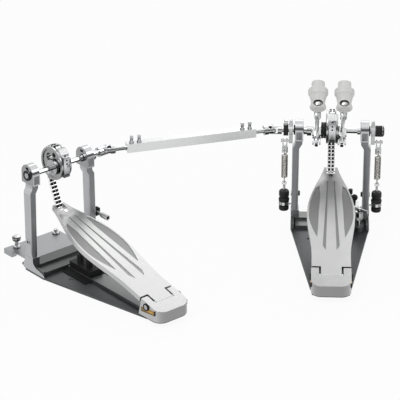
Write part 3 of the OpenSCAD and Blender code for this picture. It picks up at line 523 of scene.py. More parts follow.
def lathe(bm, profile, place, steps=48):
    """Turns a profile of (radius, height) points about Z, then puts it in place."""
    verts = [bm.verts.new((r * MM, 0, z * MM)) for r, z in profile]
    edges = [bm.edges.new(pair) for pair in zip(verts, verts[1:])]
    bmesh.ops.spin(
        bm, geom=verts + edges, cent=(0, 0, 0), axis=UP, angle=2 * math.pi, steps=steps, use_merge=True
    )
    spun = list({v for f in bm.faces for v in f.verts if not f.tag} | set(verts))
    bmesh.ops.remove_doubles(bm, verts=spun, dist=FINE_WELD)
    fresh = [f for f in bm.faces if not f.tag]
    bmesh.ops.recalc_face_normals(bm, faces=fresh)
    bmesh.ops.transform(bm, matrix=place, verts=list({v for f in fresh for v in f.verts}))
    tag_all(bm)


def tag_all(bm):
    """Marks what is in a bmesh as in its place, so that the lathe leaves it there."""
    for f in bm.faces:
        f.tag = True


def ease(bm, edges, bevel):
    bmesh.ops.bevel(
        bm, geom=edges, offset=bevel * MM, offset_type="OFFSET", affect="EDGES", segments=2,
        profile=0.5, material=-1, clamp_overlap=True,
    )
    tag_all(bm)


def prism(bm, sides, radius, height, place, bevel=0.3):
    """A straight bar with eased edges: round, hexagonal or square by its number of sides."""
    made = bmesh.ops.create_cone(
        bm, cap_ends=True, segments=sides, radius1=radius * MM, radius2=radius * MM, depth=height * MM,
        matrix=place @ Matrix.Translation((0, 0, height * MM / 2)),
    )
    ease(bm, list({e for v in made["verts"] for e in v.link_edges if sharp(e)}), bevel)


def block(bm, size, place, bevel=0.5):
    """A rectangular bar with eased edges, centred on its place."""
    made = bmesh.ops.create_cube(bm, size=1.0, matrix=place @ Matrix.Diagonal((*[s * MM for s in size], 1)))
    ease(bm, list({e for v in made["verts"] for e in v.link_edges}), bevel)


def mesh_of(bm, name):
    """A plain mesh, for cutting with."""
    mesh = bpy.data.meshes.new(name)
    bm.to_mesh(mesh)
    bm.free()
    return mesh


def carved(mesh, tool, operation="DIFFERENCE"):
    """The mesh with the space of a second mesh cut out of it, or filled in."""
    body = bpy.data.objects.new("body", mesh)
    cutter = bpy.data.objects.new("cutter", tool)
    for item in (body, cutter):
        bpy.context.scene.collection.objects.link(item)
    cut = body.modifiers.new("cut", "BOOLEAN")
    cut.operation = operation
    cut.solver = "EXACT"
    cut.object = cutter
    bpy.context.view_layer.update()
    made = bpy.data.meshes.new_from_object(body.evaluated_get(bpy.context.evaluated_depsgraph_get()))
    for item in (body, cutter):
        bpy.data.objects.remove(item)
    for used in (mesh, tool):
        bpy.data.meshes.remove(used)
    return made


def slab(bm, outline, low, high, place):
    """A plate between two heights with an outline of (x, y) points."""
    face = bm.faces.new([bm.verts.new((x * MM, y * MM, low * MM)) for x, y in outline])
    fresh = {face, *face.verts}
    if high > low:
        made = bmesh.ops.extrude_face_region(bm, geom=[face])["geom"]
        top = [v for v in made if isinstance(v, bmesh.types.BMVert)]
        bmesh.ops.translate(bm, verts=top, vec=(0, 0, (high - low) * MM))
        fresh |= set(made)
    verts = [v for v in fresh if isinstance(v, bmesh.types.BMVert)]
    bmesh.ops.recalc_face_normals(bm, faces=list({f for v in verts for f in v.link_faces}))
    bmesh.ops.transform(bm, matrix=place, verts=verts)


def board_half(d):
    """Half the width of a footboard at a distance from its hinge."""
    if d > 166.8:
        return 12 + 31 * math.sin(math.pi / 2 * (299.8 - d) / 133) ** 1.3
    if d > 54.8:
        return 38.6 - 4.4 * math.cos(math.pi * (d - 54.8) / 112)
    return 34.2


def leaf(s, inset):
    """The outline of the sunk leaf on one side of a footboard."""
    outer = [(24.6, 98.8), (27.4, 106), (29.9, 113), (33.6, 124.8), (36.7, 136), (38.9, 148), (40.0, 159)]
    for k in range(1, 18):
        d = 159 + 85.8 * k / 17
        outer.append((min(board_half(d) - 2.9, 18.5 + (247 - d) * 1.1), d))
    inner = [(24.2 - 5.9 * k / 6, 98.8 + 146 * k / 6) for k in (5, 4, 3, 2, 1)]
    centre = Vector((31, 172))
    outline = [p - (p - centre).normalized() * inset for p in map(Vector, outer + inner)]
    return [(s * p.x, p.y) for p in outline]


def groove(s, inset):
    """The outline of the sunk stripe on one side of a footboard."""
    half, low, high = 3.2 * (1 - inset * 0.2), 62.8 + inset, 258.8 - inset
    return [(s * (12.2 - half), low), (s * (12.2 + half), low + 14), (s * 6.8, high), (s * 5.2, high)]


def heel_corner(s):
    """The outline of what is cut off a rear corner of a heel to round it."""
    inner_x, start_y, radius, side_x, rear_y = 17, -302, 18, 36.2, -321
    arc = [math.radians(-90 * k / 10) for k in range(11)]
    round_edge = [(inner_x + radius * math.cos(a), start_y + radius * math.sin(a)) for a in arc]
    outline = [(side_x, start_y), *round_edge, (inner_x, rear_y), (side_x, rear_y)]
    return [(s * x, y) for x, y in outline]


def wire_mesh(points, radius):
    """A round wire along points, as a mesh."""
    curve = bpy.data.curves.new("wire", "CURVE")
    curve.dimensions = "3D"
    curve.bevel_depth = radius * MM
    curve.bevel_resolution = 3
    curve.use_fill_caps = True
    spline = curve.splines.new("POLY")
    spline.points.add(len(points) - 1)
    for point, (x, y, z) in zip(spline.points, points):
        point.co = (x * MM, y * MM, z * MM, 1)
    holder = bpy.data.objects.new("wire", curve)
    bpy.context.scene.collection.objects.link(holder)
    bpy.context.view_layer.update()
    mesh = bpy.data.meshes.new_from_object(holder.evaluated_get(bpy.context.evaluated_depsgraph_get()))
    bpy.data.objects.remove(holder)
    bpy.data.curves.remove(curve)
    return mesh


def spring_eye(centre, up, k):
    """A point of the round eye at one end of a spring, from the open end for k = 0."""
    a = math.radians(15 + 225 * k / 20)
    return (0, SPRING_EYE * math.cos(a), centre + up * SPRING_EYE * math.sin(a))


def spring_line(ring, low, high, turns):
    """The middle line of a spring's wire: lower eye, curls and upper eye."""
    line = [spring_eye(low - SPRING_EYE - 1.6, -1, k) for k in range(20, -1, -1)]
    line.append((0, ring, low - 1.6))
    steps = turns * TURN_STEPS
    for k in range(steps + 1):
        a = math.radians(90 + 360 * k / TURN_STEPS)
        line.append((ring * math.cos(a), ring * math.sin(a), low + (high - low) * k / steps))
    line.append((0, ring, high + 1.6))
    line += [spring_eye(high + SPRING_EYE + 1.6, 1, k) for k in range(21)]
    return line


# Outlines that the lathe turns, as (radius, height) in millimetres

CAP_SEAL = [(5.5, 0.2), (8.6, 0.2), (9.3, 0.9), (9.3, 2.0), (8.6, 2.5), (6.2, 2.5), (5.5, 1.9), (5.5, 0.2)]
PIN_RING = [(4.2, 0.1), (6.3, 0.1), (6.6, 0.5), (6.6, 2.0), (6.2, 2.4), (4.7, 2.4), (4.2, 1.9), (4.2, 0.1)]
END_COVER = [(0, 78.5), (9.6, 78.5), (10.1, 79), (10.15, 90.8), (9.8, 92.4), (8.4, 94), (5.4, 94.9), (0, 95)]
HEAD = [
    (0, -9), (9.4, -9), (12, -8.5), (13.8, -7.1), (14.7, -5), (14.5, -3.2), (13.5, -0.6), (12.8, 1.2),
    (12.5, 3), (12.6, 5), (13.3, 9), (14.5, 13.5), (15.8, 17.2), (16.6, 18.6), (17.5, 19.6), (17.75, 20.6),
    (17.75, 23.4), (17.3, 23.7), (17.3, 24.5), (17.75, 24.8), (17.75, 27.2), (17.3, 28.8), (16, 29.9),
    (13.4, 30.5), (12.4, 30.9), (12, 31.7), (11.8, 41.6), (11.4, 43), (10.4, 43.8), (8.4, 44), (6.8, 43.8),
    (0, 43.8),
]
HEAD_HOLLOW = [(0, 7.5), (6.6, 7.5), (7.2, 8.2), (7.6, 16), (0, 16)]
HEAD_NECK = [(3.6, -25.8), (5.4, -25.8), (5.9, -25.2), (5.9, -22.4), (6.4, -21.6), (6.5, -3)]
# A black ring inside the hollow of a head: painted shadow round the recess.
HEAD_RECESS_SHADOW = [(8.1, 11.6), (8.6, 12.3), (8.1, 12.9), (7.4, 12.6), (7.2, 8)]
UPPER_KNOB = [
    (0, 4.2), (9.4, 4.2), (9.9, 4.8), (9.9, 8.4), (9.2, 9.4), (7.7, 10.3), (7.5, 11.6), (8.6, 12.9),
    (9.4, 14.4), (9.5, 20.4), (9.1, 23.2), (7.8, 24.7), (3, 25), (0, 25),
]
LOWER_KNOB = [(0, -15), (6.4, -15), (8.4, -14.2), (9.2, -12.6), (9.2, -7.2), (8.6, -5.8), (5.6, -4.7), (0, -4.7)]
SPRING_STEM = [(0, 24.6), (2.2, 24.6), (2.2, 33.4), (1.6, 36), (0, 36)]
STEM_EYE = [(2, -1.2), (4.4, -1.2), (4.6, -0.6), (4.6, 0.6), (4.4, 1.2), (2, 1.2), (2, -1.2)]
STEM_BALL = [(0, -5.2), (1.9, -5.0), (3.7, -3.7), (5.2, 0), (3.7, 3.7), (1.9, 5.0), (0, 5.2)]
SCREW_FOOT = [(0, 0.7), (0.9, 0.7), (3.9, 5.6), (3.9, 10), (6.6, 10.2), (6.9, 10.6), (6.9, 13.4), (6.5, 13.9)]
TALL_SCREW = SCREW_FOOT + [
    (3.2, 14), (3.2, 22.5), (5.4, 23), (7.2, 24.7), (7.9, 27.1), (7.9, 29.7), (7.1, 31.9), (5, 33.2), (0, 33.7),
]
LOW_SCREW = SCREW_FOOT + [(3.6, 14), (3.6, 18.6), (3.1, 19.2), (0, 19.4)]

# The side outline of a post's foot, as (y, z)
POST_FOOT = [
    (14, 4.5), (14, 15), (9.3, 21), (9.3, 29.6), (-13.8, 29.6), (-14.6, 21), (-17, 17.4), (-22, 14.4),
    (-38, 11), (-46, 6.4), (-47, 4.5),
]


# Sizes and colours that a user would change


class PedalSizes(bpy.types.PropertyGroup):
    edge_round: bpy.props.FloatProperty(
        name="Edge rounding", description="Radius on the edges of castings",
        default=0.0006, min=0.0001, max=0.002, unit="LENGTH",
    )
    spring_wire: bpy.props.FloatProperty(
        name="Spring wire", description="Diameter of the spring wire",
        default=0.0019, min=0.001, max=0.0022, unit="LENGTH",
    )
    spring_outer: bpy.props.FloatProperty(
        name="Spring diameter", description="Outer diameter of the spring coils",
        default=0.012, min=0.009, max=0.016, unit="LENGTH",
    )
    spring_turns: bpy.props.IntProperty(
        name="Spring turns", description="Number of curls in a spring", default=17, min=8, max=20
    )
    beater_lean: bpy.props.FloatProperty(
        name="Beater lean", description="Angle of the beaters behind the upright",
        default=math.radians(45), subtype="ANGLE",
    )
    lamp_power: bpy.props.FloatProperty(
        name="Key lamp", description="Power of the main soft box in watts", default=25.0, min=0.0
    )


def colour_of(name, description, default):
    return bpy.props.FloatVectorProperty(
        name=name, description=description, subtype="COLOR", size=3, default=default
    )


class PedalColours(bpy.types.PropertyGroup):
    board: colour_of("Footboard", "Satin alloy of the footboards", (0.5, 0.505, 0.5))
    casting: colour_of("Castings", "Cast alloy of posts and holders", (0.36, 0.365, 0.375))
    plate: colour_of("Plating", "Polished plating of shafts and caps", (0.82, 0.83, 0.84))
    base_paint: colour_of("Base", "Sprayed steel of the bases", (0.085, 0.09, 0.092))
    heads: colour_of("Beater heads", "Pale plastic of the beater heads", (0.72, 0.72, 0.71))
    black: colour_of("Black parts", "Black plastic of knobs and blocks", (0.012, 0.012, 0.013))


def sizes():
    return bpy.context.scene.pedal_sizes


def chosen(name):
    """The colour that a user has set for a group of pieces."""
    return tuple(getattr(bpy.context.scene.pedal_colours, name))


def plating(side="main"):
    """Polished plate. Its painted reflection bands lie across the pedal that the piece belongs to."""
    return kept("polished_plate_" + side, plated_metal(chosen("plate"), 0.1, axis_of(side)))


def satin():
    return kept("satin_steel", drawn_metal((0.5, 0.505, 0.51), 0.28))


def black():
    return kept("black_moulding", moulded(chosen("black")))


def along_x(x):
    """A place at x on the shaft whose Z runs along the shaft."""
    return at(x, 0, SHAFT) @ turned(90, "Y")


# Pieces


class PEDAL_OT_bases(bpy.types.Operator):
    """The base plates with their sprayed finish, painted highlights on the rails, painted light on the steps,
    and the black blocks on them
    """

    bl_idname = "pedal.bases"
    bl_label = "Bases"

    def execute(self, context):
        paint = kept("base_paint", painted_metal(chosen("base_paint"), 0.36))
        for side, _ in PEDALS:
            eased(side + "_base", 0.0005, paint)
            eased(side + "_stop_pad", 0.0006, black())
        # Painted highlight: a lighter film on the up-facing top of each base's rail.
        edge = kept("rubbed_edge", painted_metal((0.24, 0.25, 0.25), 0.34))
        # Painted light: a lighter film on the up-facing steps, brighter on the main pedal than on the slave.
        painted_step_light = {"main": (0.19, 0.195, 0.19), "slave": (0.11, 0.115, 0.112)}
        mat = kept("base_mat", rubber((0.012, 0.012, 0.012)))
        for side, place in PEDALS:
            step = kept(side + "_step_paint", painted_metal(painted_step_light[side], 0.36))
            skin(side + "_base", side + "_base_rail", edge, place, *RAIL_HEIGHTS)
            skin(side + "_base", side + "_base_step", step, place, *STEP_HEIGHTS)
            bm = bmesh.new()
            block(bm, (62, 66, 1.6), place @ at(0, -78, 4.8), 0.4)
            block(bm, (30.4, 61, 1.2), place @ at(0, -76, 9.6), 0.4)
            finished(bm, side + "_base_mat", side + "_frame", mat)
        return {"FINISHED"}


class PEDAL_OT_posts(bpy.types.Operator):
    """The posts and the bearing caps on them"""

    bl_idname = "pedal.posts"
    bl_label = "Posts and caps"

    def execute(self, context):
        panel = kept("cap_panel", cast_metal(shade(chosen("casting"), 0.6)))
        # Painted light and painted shade: a lit and a shaded copy of the casting colour for the posts.
        light, dark = shade(chosen("casting"), 1.45), shade(chosen("casting"), 0.42)
        column_of = {}
        for side, _ in PEDALS:
            column = kept("column_alloy_" + side, column_metal(light, dark, axis_of(side)))
            column_of[side] = column
            plate = plated_metal(shade(chosen("plate"), 0.8), 0.14, axis_of(side))
            eased(side + "_posts", sizes().edge_round, column, wide=0.0026, longer=0.03)
            eased(side + "_bearing_caps", 0.0009, kept("cap_plate_" + side, plate))
        for side, place in PEDALS:
            frame_set = side + "_frame"
            bolts, feet, panels, seals = (bmesh.new() for _ in range(4))
            for s in (-1, 1):
                inner_face = place @ at(s * 59.1, -2, 59) @ turned(-s * 90, "Y")
                prism(bolts, 6, 4.6, 3.4, inner_face)
                prism(bolts, 24, 5.6, 0.8, inner_face)
                foot = place @ at(s * 71.6, 0, 0) @ turned(90, "Y")
                slab(feet, [(-z, y) for y, z in POST_FOOT], -0.6, 0.6, foot)
                block(panels, (10.4, 0.8, 15), place @ at(s * 59.5, -17.1, 179.5), 0.35)
                lathe(seals, CAP_SEAL, place @ at(s * 67, 0, SHAFT) @ turned(s * 90, "Y"), 40)
                block(seals, (1.2, 7, 13), place @ at(s * 67.3, -10.2, 189) @ turned(20, "X"), 0.4)
            finished(bolts, side + "_post_bolts", frame_set, black())
            round_off(finished(feet, side + "_post_feet", frame_set, column_of[side]), 0.0004)
            finished(panels, side + "_cap_panels", frame_set, panel)
            finished(seals, side + "_cap_seals", frame_set, black())
        return {"FINISHED"}


class PEDAL_OT_boards(bpy.types.Operator):
    """The footboards, their heels and pins"""

    bl_idname = "pedal.boards"
    bl_label = "Footboards and heels"

    def execute(self, context):
        gold = kept("gold_block", plated_metal((0.83, 0.5, 0.16), 0.24))
        grip = kept("heel_rubber", rubber((0.03, 0.03, 0.032)))
        # Painted light: the slave's boards and heels are a lighter copy of the same alloy, and both fall off
        # towards the toe by painted reflection tones.
        painted_side_light = {"main": 1.0, "slave": 1.22}
        painted_reflection_tones = {
            "main": [(0.0, 0.95), (0.35, 0.97), (0.7, 0.95), (0.8, 0.84), (0.9, 0.66), (1.0, 0.54)],
            "slave": [(0.0, 0.8), (0.35, 0.82), (0.6, 0.92), (0.76, 0.88), (0.88, 0.76), (1.0, 0.66)],
        }
        for side, place in PEDALS:
            frame_set = side + "_frame"
            tint = shade(chosen("board"), painted_side_light[side])
            board = kept("board_alloy_" + side, board_metal(tint, side, painted_reflection_tones[side]))
            heel = kept("heel_alloy_" + side, board_metal(shade(tint, 0.94), side, painted_reflection_tones[side], 0.3))
            # The sunk floors are half as bright as the top: painted shade in the recesses, on a rougher finish.
            sunk = board_metal(shade(tint, 0.5), side, [(0.0, 1.0), (0.5, 0.95), (1.0, 0.75)], 0.44)
            self.footboard(side, place @ BOARD, board, kept("board_recess_" + side, sunk))
            self.heel_block(side, place, heel)
            eased(side + "_hinge_pin", 0.0004, plating(side))
            finish_node(side + "_toe_pin", plating(side))
            self.heel_pad(side, place, grip)
            rings, blocks, stops = (bmesh.new() for _ in range(3))
            for s in (-1, 1):
                lathe(rings, PIN_RING, place @ at(s * HEEL_SIDE, HINGE_Y, HINGE_Z) @ turned(s * 90, "Y"), 32)
                block(blocks, (1.6, 35.4, 7.8), place @ at(s * HEEL_SIDE, -289.5, 25.2) @ turned(-6.5, "X"), 0.4)
                block(stops, (2, 1.6, 8.4), place @ at(s * HEEL_SIDE, -307.6, 27.3), 0.3)
            finished(rings, side + "_pin_rings", frame_set, black())
            finished(blocks, side + "_gold_blocks", frame_set, gold)
            finished(stops, side + "_block_stops", frame_set, black())
        return {"FINISHED"}

    def footboard(self, side, here, board, sunk):
        """The footboard with its long hollows filled and the leaves and stripes of the real one sunk in."""
        node = side + "_footboard"
        fill_start, fill_length, fill_end, fill_inset, fill_low, cut_top = 50, 212, 267, 1.2, 5.0, 9
        film_inset, film_lift = 0.8, 0.03
        bm = bmesh.new()
        rows = [*[fill_start + fill_length * k / 24 for k in range(25)], fill_end]
        right = [(board_half(d) - fill_inset, d) for d in rows]
        left = [(fill_inset - board_half(d), d) for d in reversed(rows)]
        slab(bm, right + left, fill_low, BOARD_TOP, here)
        shell = carved(mesh_of(merged(node), "board"), mesh_of(bm, "fill"), "UNION")
        bm = bmesh.new()
        for s in (-1, 1):
            slab(bm, leaf(s, 0), LEAF_FLOOR, cut_top, here)
            slab(bm, groove(s, 0), GROOVE_FLOOR, cut_top, here)
        bm = joined(carved(shell, mesh_of(bm, "sunk")))
        top = round_off(finished(bm, node + "_top", body_of_node(node), board, 40.0, (node,)), 0.0007)
        top.modifiers["rounding"].harden_normals = False
        flat_lit(top)
        # A film on the floors of the sunk leaves and stripes carries their painted shade.
        bm = bmesh.new()
        for s in (-1, 1):
            for outline, floor in ((leaf, LEAF_FLOOR), (groove, GROOVE_FLOOR)):
                slab(bm, outline(s, film_inset), floor + film_lift, floor + film_lift, here)
        finished(bm, side + "_board_recess", body_of_node(node), sunk)

    def heel_block(self, side, place, heel):
        bm = bmesh.new()
        for s in (-1, 1):
            slab(bm, heel_corner(s), -2, 62, place)
        bm = joined(carved(mesh_of(merged(side + "_heel"), "heel"), mesh_of(bm, "corners")))
        piece = finished(bm, side + "_heel_block", side + "_frame", heel, 40.0, (side + "_heel",))
        round_off(piece, 0.0014, 3)

    def heel_pad(self, side, place, grip):
        """The rubber sheet under the heel, with its rear corners rounded."""
        bm = bmesh.new()
        made = bmesh.ops.create_cube(
            bm, size=1.0, matrix=at(0, -297, 10.2) @ Matrix.Diagonal((0.0684, 0.0436, 0.0014, 1))
        )
        corners = [
            e for e in {e for v in made["verts"] for e in v.link_edges}
            if abs(e.verts[0].co.z - e.verts[1].co.z) > 0.001 and e.verts[0].co.y < -0.3
        ]
        bmesh.ops.bevel(
            bm, geom=corners, offset=0.0175, offset_type="OFFSET", affect="EDGES", segments=8,
            profile=0.5, material=-1,
        )
        bmesh.ops.transform(bm, matrix=place, verts=bm.verts)
        finished(bm, side + "_heel_pad", side + "_frame", grip)


class PEDAL_OT_cams(bpy.types.Operator):
    """The cams and the chains round them"""

    bl_idname = "pedal.cams"
    bl_label = "Cams and chains"

    def execute(self, context):
        chain = kept("chain_steel", drawn_metal((0.86, 0.86, 0.86), 0.2))
        # Painted shade: dark blocks inside the chain stand for the shadowed gaps between its plates and rollers.
        gap_shade = kept("chain_gaps", rubber((0.02, 0.02, 0.02)))
        slope, swing = math.radians(BOARD_SLOPE), math.radians(CHAIN_ANGLE)
        toe = Vector((
            HINGE_Y + TOE_RUN * math.cos(slope) - TOE_RISE * math.sin(slope),
            HINGE_Z + TOE_RUN * math.sin(slope) + TOE_RISE * math.cos(slope),
        ))
        link_turn = 2 * math.degrees(math.asin(CHAIN_PITCH / (2 * CHAIN_RADIUS)))
        link_reach = CHAIN_RADIUS * math.cos(math.radians(link_turn / 2))
        for side, place in PEDALS:
            shaft_set = side + "_shaft_set"
            cam = plated_metal((0.66, 0.665, 0.67), 0.22, axis_of(side))
            eased(side + "_cam", 0.0007, kept("cam_alloy_" + side, cam))
            for part in ("run", "lower", "upper", "wrap"):
                finish_node(side + "_chain_" + part, chain)
            bm = bmesh.new()
            block(bm, (13, 5, 38), place @ at(0, -23.3, 190), 0.8)
            finished(bm, side + "_cam_block", shaft_set, plating(side))
            # Painted shade: two black discs stand for the dark holes in the cam's front block; a black bar below
            # is the bolt.
            bm = bmesh.new()
            for z in (196.5, 203):
                prism(bm, 20, 1.7, 0.9, place @ at(0, -25.4, z) @ turned(90, "X"), 0.2)
            block(bm, (9, 0.9, 2.4), place @ at(0, -25.6, 176), 0.3)
            finished(bm, side + "_cam_bolts", shaft_set, black())
            # Painted shade blocks in the gaps of the straight run of chain.
            bm = bmesh.new()
            for link in range(RUN_LINKS):
                middle = toe + Vector((math.sin(swing), math.cos(swing))) * CHAIN_PITCH * (link + 0.5)
                for x in (-CHAIN_ROW, CHAIN_ROW):
                    block(bm, (4.2, 6.9, 4.1), place @ at(x, *middle) @ turned(-CHAIN_ANGLE, "X"), 0.3)
            finished(bm, side + "_run_gaps", side + "_run_set", gap_shade)
            # Painted shade blocks in the gaps of the chain that wraps the cam.
            bm = bmesh.new()
            for link in WRAP_LINKS:
                here = place @ at(0, CAM_Y, CAM_Z) @ turned(-CHAIN_ANGLE + (link + 0.5) * link_turn, "X")
                for x in (-CHAIN_ROW, CHAIN_ROW):
                    block(bm, (4.2, 4.1, 6.9), here @ at(x, link_reach, 0) @ turned(90, "X"), 0.3)
            finished(bm, side + "_wrap_gaps", shaft_set, gap_shade)
        return {"FINISHED"}


class PEDAL_OT_shafts(bpy.types.Operator):
    """The shafts, collar, rockers and stirrups"""

    bl_idname = "pedal.shafts"
    bl_label = "Shafts and rockers"

    def execute(self, context):
        for node, side in (("main_shaft", "main"), ("slave_shaft", "slave"), ("left_shaft", "main")):
            eased(node, 0.0004, plating(side))
        eased("left_collar", 0.0005, black())
        for hand, _ in BEATERS:
            eased(hand + "_rocker", 0.0008, satin())
            eased(hand + "_stirrup", 0.0004, satin())
        bm = bmesh.new()
        lathe(bm, END_COVER, along_x(0), 48)
        finished(bm, "shaft_end_cover", "main_shaft_set", black())
        for name, body, low, high in (
            ("right_disc", "main_shaft_set", -14.6, -10.9), ("left_disc", "left_shaft_set", -19.6, -15.0),
        ):
            disc = [(0, low), (14.2, low), (14.8, low + 0.5), (14.8, high - 0.5), (14.2, high), (0, high)]
            bm = bmesh.new()
            lathe(bm, disc, along_x(0), 56)
            finished(bm, name, body, black())
        bm = bmesh.new()
        block(bm, (7.1, 7.1, 9.4), at(COLLAR_X, 0, 199.6), 0.7)
        prism(bm, 32, 5.4, 1.6, at(COLLAR_X, 0, 195.4))
        finished(bm, "collar_bolt", "left_shaft_set", plating())
        return {"FINISHED"}


class PEDAL_OT_beaters(bpy.types.Operator):
    """The beater holders, rods and heads"""

    bl_idname = "pedal.beaters"
    bl_label = "Beaters"

    def execute(self, context):
        cheek = kept("holder_plate", drawn_metal((0.74, 0.745, 0.75), 0.16))
        plastic = kept("head_plastic", head_plastic(chosen("heads")))
        lean = math.degrees(sizes().beater_lean)
        for hand, x in BEATERS:
            shaft_set = "left_shaft_set" if hand == "left" else "main_shaft_set"
            beater_set = hand + "_beater_set"
            eased(hand + "_holder", 0.0006, cheek)
            finish_node(hand + "_rod", cheek)
            bm = bmesh.new()
            for s in (-1, 1):
                prism(bm, 40, 7.4, 3.0, at(x + s * 6.2 - 1.5, -11.4, 168.4) @ turned(90, "Y"), 0.6)
            block(bm, (15.8, 8.6, 19), at(x, -11.6, 188.6), 1.6)
            finished(bm, hand + "_holder_cheeks", shaft_set, cheek)
            bm = bmesh.new()
            block(bm, (16.2, 5.2, 1.6), at(x, -13.6, 180.6), 0.3)
            block(bm, (1.6, 1.2, 9), at(x, -16.1, 191), 0.3)
            prism(bm, 6, 3.4, 3.2, at(x, -12.2, 158.6))
            finished(bm, hand + "_holder_bolt", shaft_set, black())

            place = at(x, 0, SHAFT) @ turned(lean, "X") @ at(0, ROD_BACK, HEAD_REACH)
            front = place @ at(0, -1, 0)
            bm = bmesh.new()
            lathe(bm, HEAD, place @ turned(-90, "X"), 96)
            shell = mesh_of(bm, "head_body")
            bm = bmesh.new()
            lathe(bm, HEAD_HOLLOW, front @ Matrix.Diagonal((1.12, 0.82, 1, 1)), 48)
            shell = carved(shell, mesh_of(bm, "hollow"))
            flat_lit(placed(shell, hand + "_head_shell", beater_set, plastic, 30.0, (hand + "_head",)))
            bm = bmesh.new()
            lathe(bm, HEAD_NECK, place, 40)
            finished(bm, hand + "_head_neck", beater_set, cheek)
            # Painted shadow: a black ring round the hollow at the front of the head.
            bm = bmesh.new()
            lathe(bm, HEAD_RECESS_SHADOW, front @ Matrix.Diagonal((1.0, 0.74, 1, 1)), 48)
            finished(bm, hand + "_head_seat", beater_set, black())
            bm = bmesh.new()
            prism(bm, 6, 4.2, 3.4, place @ at(0, -1, 7.4))
            prism(bm, 24, 2.2, 1.6, place @ at(0, -1, 10.6))
            finished(bm, hand + "_head_nut", beater_set, plating())
        return {"FINISHED"}


class PEDAL_OT_springs(bpy.types.Operator):
    """The springs and the threaded rods with their knobs"""

    bl_idname = "pedal.springs"
    bl_label = "Springs"

    def execute(self, context):
        # The wire takes the painted reflection bands of plated metal, which darken the underside of each curl.
        steel = kept("spring_wire", plated_metal((0.62, 0.6, 0.55), 0.16))
        wire = sizes().spring_wire / MM / 2
        ring = sizes().spring_outer / MM / 2 - wire
        turns = sizes().spring_turns
        low, high = SPRING_LOW, SPRING_LOW + turns * (2 * wire + SPRING_GAP)
        line = spring_line(ring, low, high, turns)
        for side, s in (("left", -1), ("right", 1)):
            rod_set = side + "_spring_rod_set"
            mesh = wire_mesh([(s * SPRING_X + x, y + SPRING_Y, z) for x, y, z in line], wire)
            piece = placed(mesh, side + "_spring", None, steel, 60.0, (side + "_coil",))
            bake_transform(piece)
            seat = at(s * SPRING_X, SPRING_Y, BRACKET_Z)
            bm = bmesh.new()
            for outline in (UPPER_KNOB, LOWER_KNOB):
                lathe(bm, outline, seat, 48)
            finished(bm, side + "_spring_knobs", rod_set, black(), 30.0, (side + "_spring_rod",))
            bm = bmesh.new()
            lathe(bm, SPRING_STEM, seat, 24)
            lathe(bm, STEM_EYE, at(s * SPRING_X, SPRING_Y, LOW_EYE_Z) @ turned(90, "X"), 32)
            lathe(bm, STEM_BALL, seat, 32)
            finished(bm, side + "_spring_stem", rod_set, plating())
        eased("spring_brackets", 0.0005, plating())
        return {"FINISHED"}


class PEDAL_OT_clamp(bpy.types.Operator):
    """The hoop clamp with its screw and knobs"""

    bl_idname = "pedal.clamp"
    bl_label = "Hoop clamp"

    def execute(self, context):
        eased("hoop_clamp", 0.0008, kept("clamp_plate", plated_metal((0.6, 0.605, 0.61), 0.2)))
        eased("clamp_screw", 0.0006, plating())
        eased("clamp_knobs", 0.0005, black())
        return {"FINISHED"}


class PEDAL_OT_slave_front(bpy.types.Operator):
    """The slave pedal's toe plate, thumbscrews, clip and drum key"""

    bl_idname = "pedal.slave_front"
    bl_label = "Slave front"

    def execute(self, context):
        eased("slave_toe_plate", 0.0008, kept("cast_alloy", cast_metal(chosen("casting"))))
        bm = bmesh.new()
        for x, outline in ((-42, TALL_SCREW), (46, LOW_SCREW)):
            lathe(bm, outline, SLAVE @ at(x, 76, 0), 40)
        finished(bm, "slave_thumbscrew_knobs", "slave_frame", plating("slave"), 30.0, ("slave_thumbscrews",))
        eased("slave_key_clip", 0.0005, black())
        eased("drum_key", 0.0005, satin())
        return {"FINISHED"}


class PEDAL_OT_drive(bpy.types.Operator):
    """The drive tube, its rods, bolts and universal joints"""

    bl_idname = "pedal.drive"
    bl_label = "Drive shaft"

    def execute(self, context):
        eased("drive_tube", 0.0018, kept("tube_alloy", tube_metal((0.78, 0.785, 0.79))), 3)
        eased("tube_bolts", 0.0003, plating())
        for part in ("yoke", "link_rod"):
            for side, _ in PEDALS:
                eased(side + "_" + part, 0.0005, plating(side))
        for side, _ in PEDALS:
            eased(side + "_cross", 0.0003, satin())
        return {"FINISHED"}


# Stage

WHITE = (1, 1, 1, 1)
FLOOR_HALF, FLOOR_DROP = 8.0, 0.0004
FLOOR_WHITE, FILL_LIGHT = 0.93, 0.42
LAMP_AIM = Vector((-0.15, -0.15, 0.08))
LAMPS = (
    ("key_box", (-1.1, -1.3, 2.3), 1.0, 1.6),
    ("side_box", (1.9, -0.6, 1.5), 0.35, 1.2),
    ("back_box", (0.2, 2.0, 1.8), 0.35, 1.4),
)
EYE = (-0.07399, -3.61133, 1.73318)
YAW, TILT = 0.046, -0.438
FOCAL_PIXELS, PHOTO_PIXELS, SENSOR = 2156.2, 400, 36


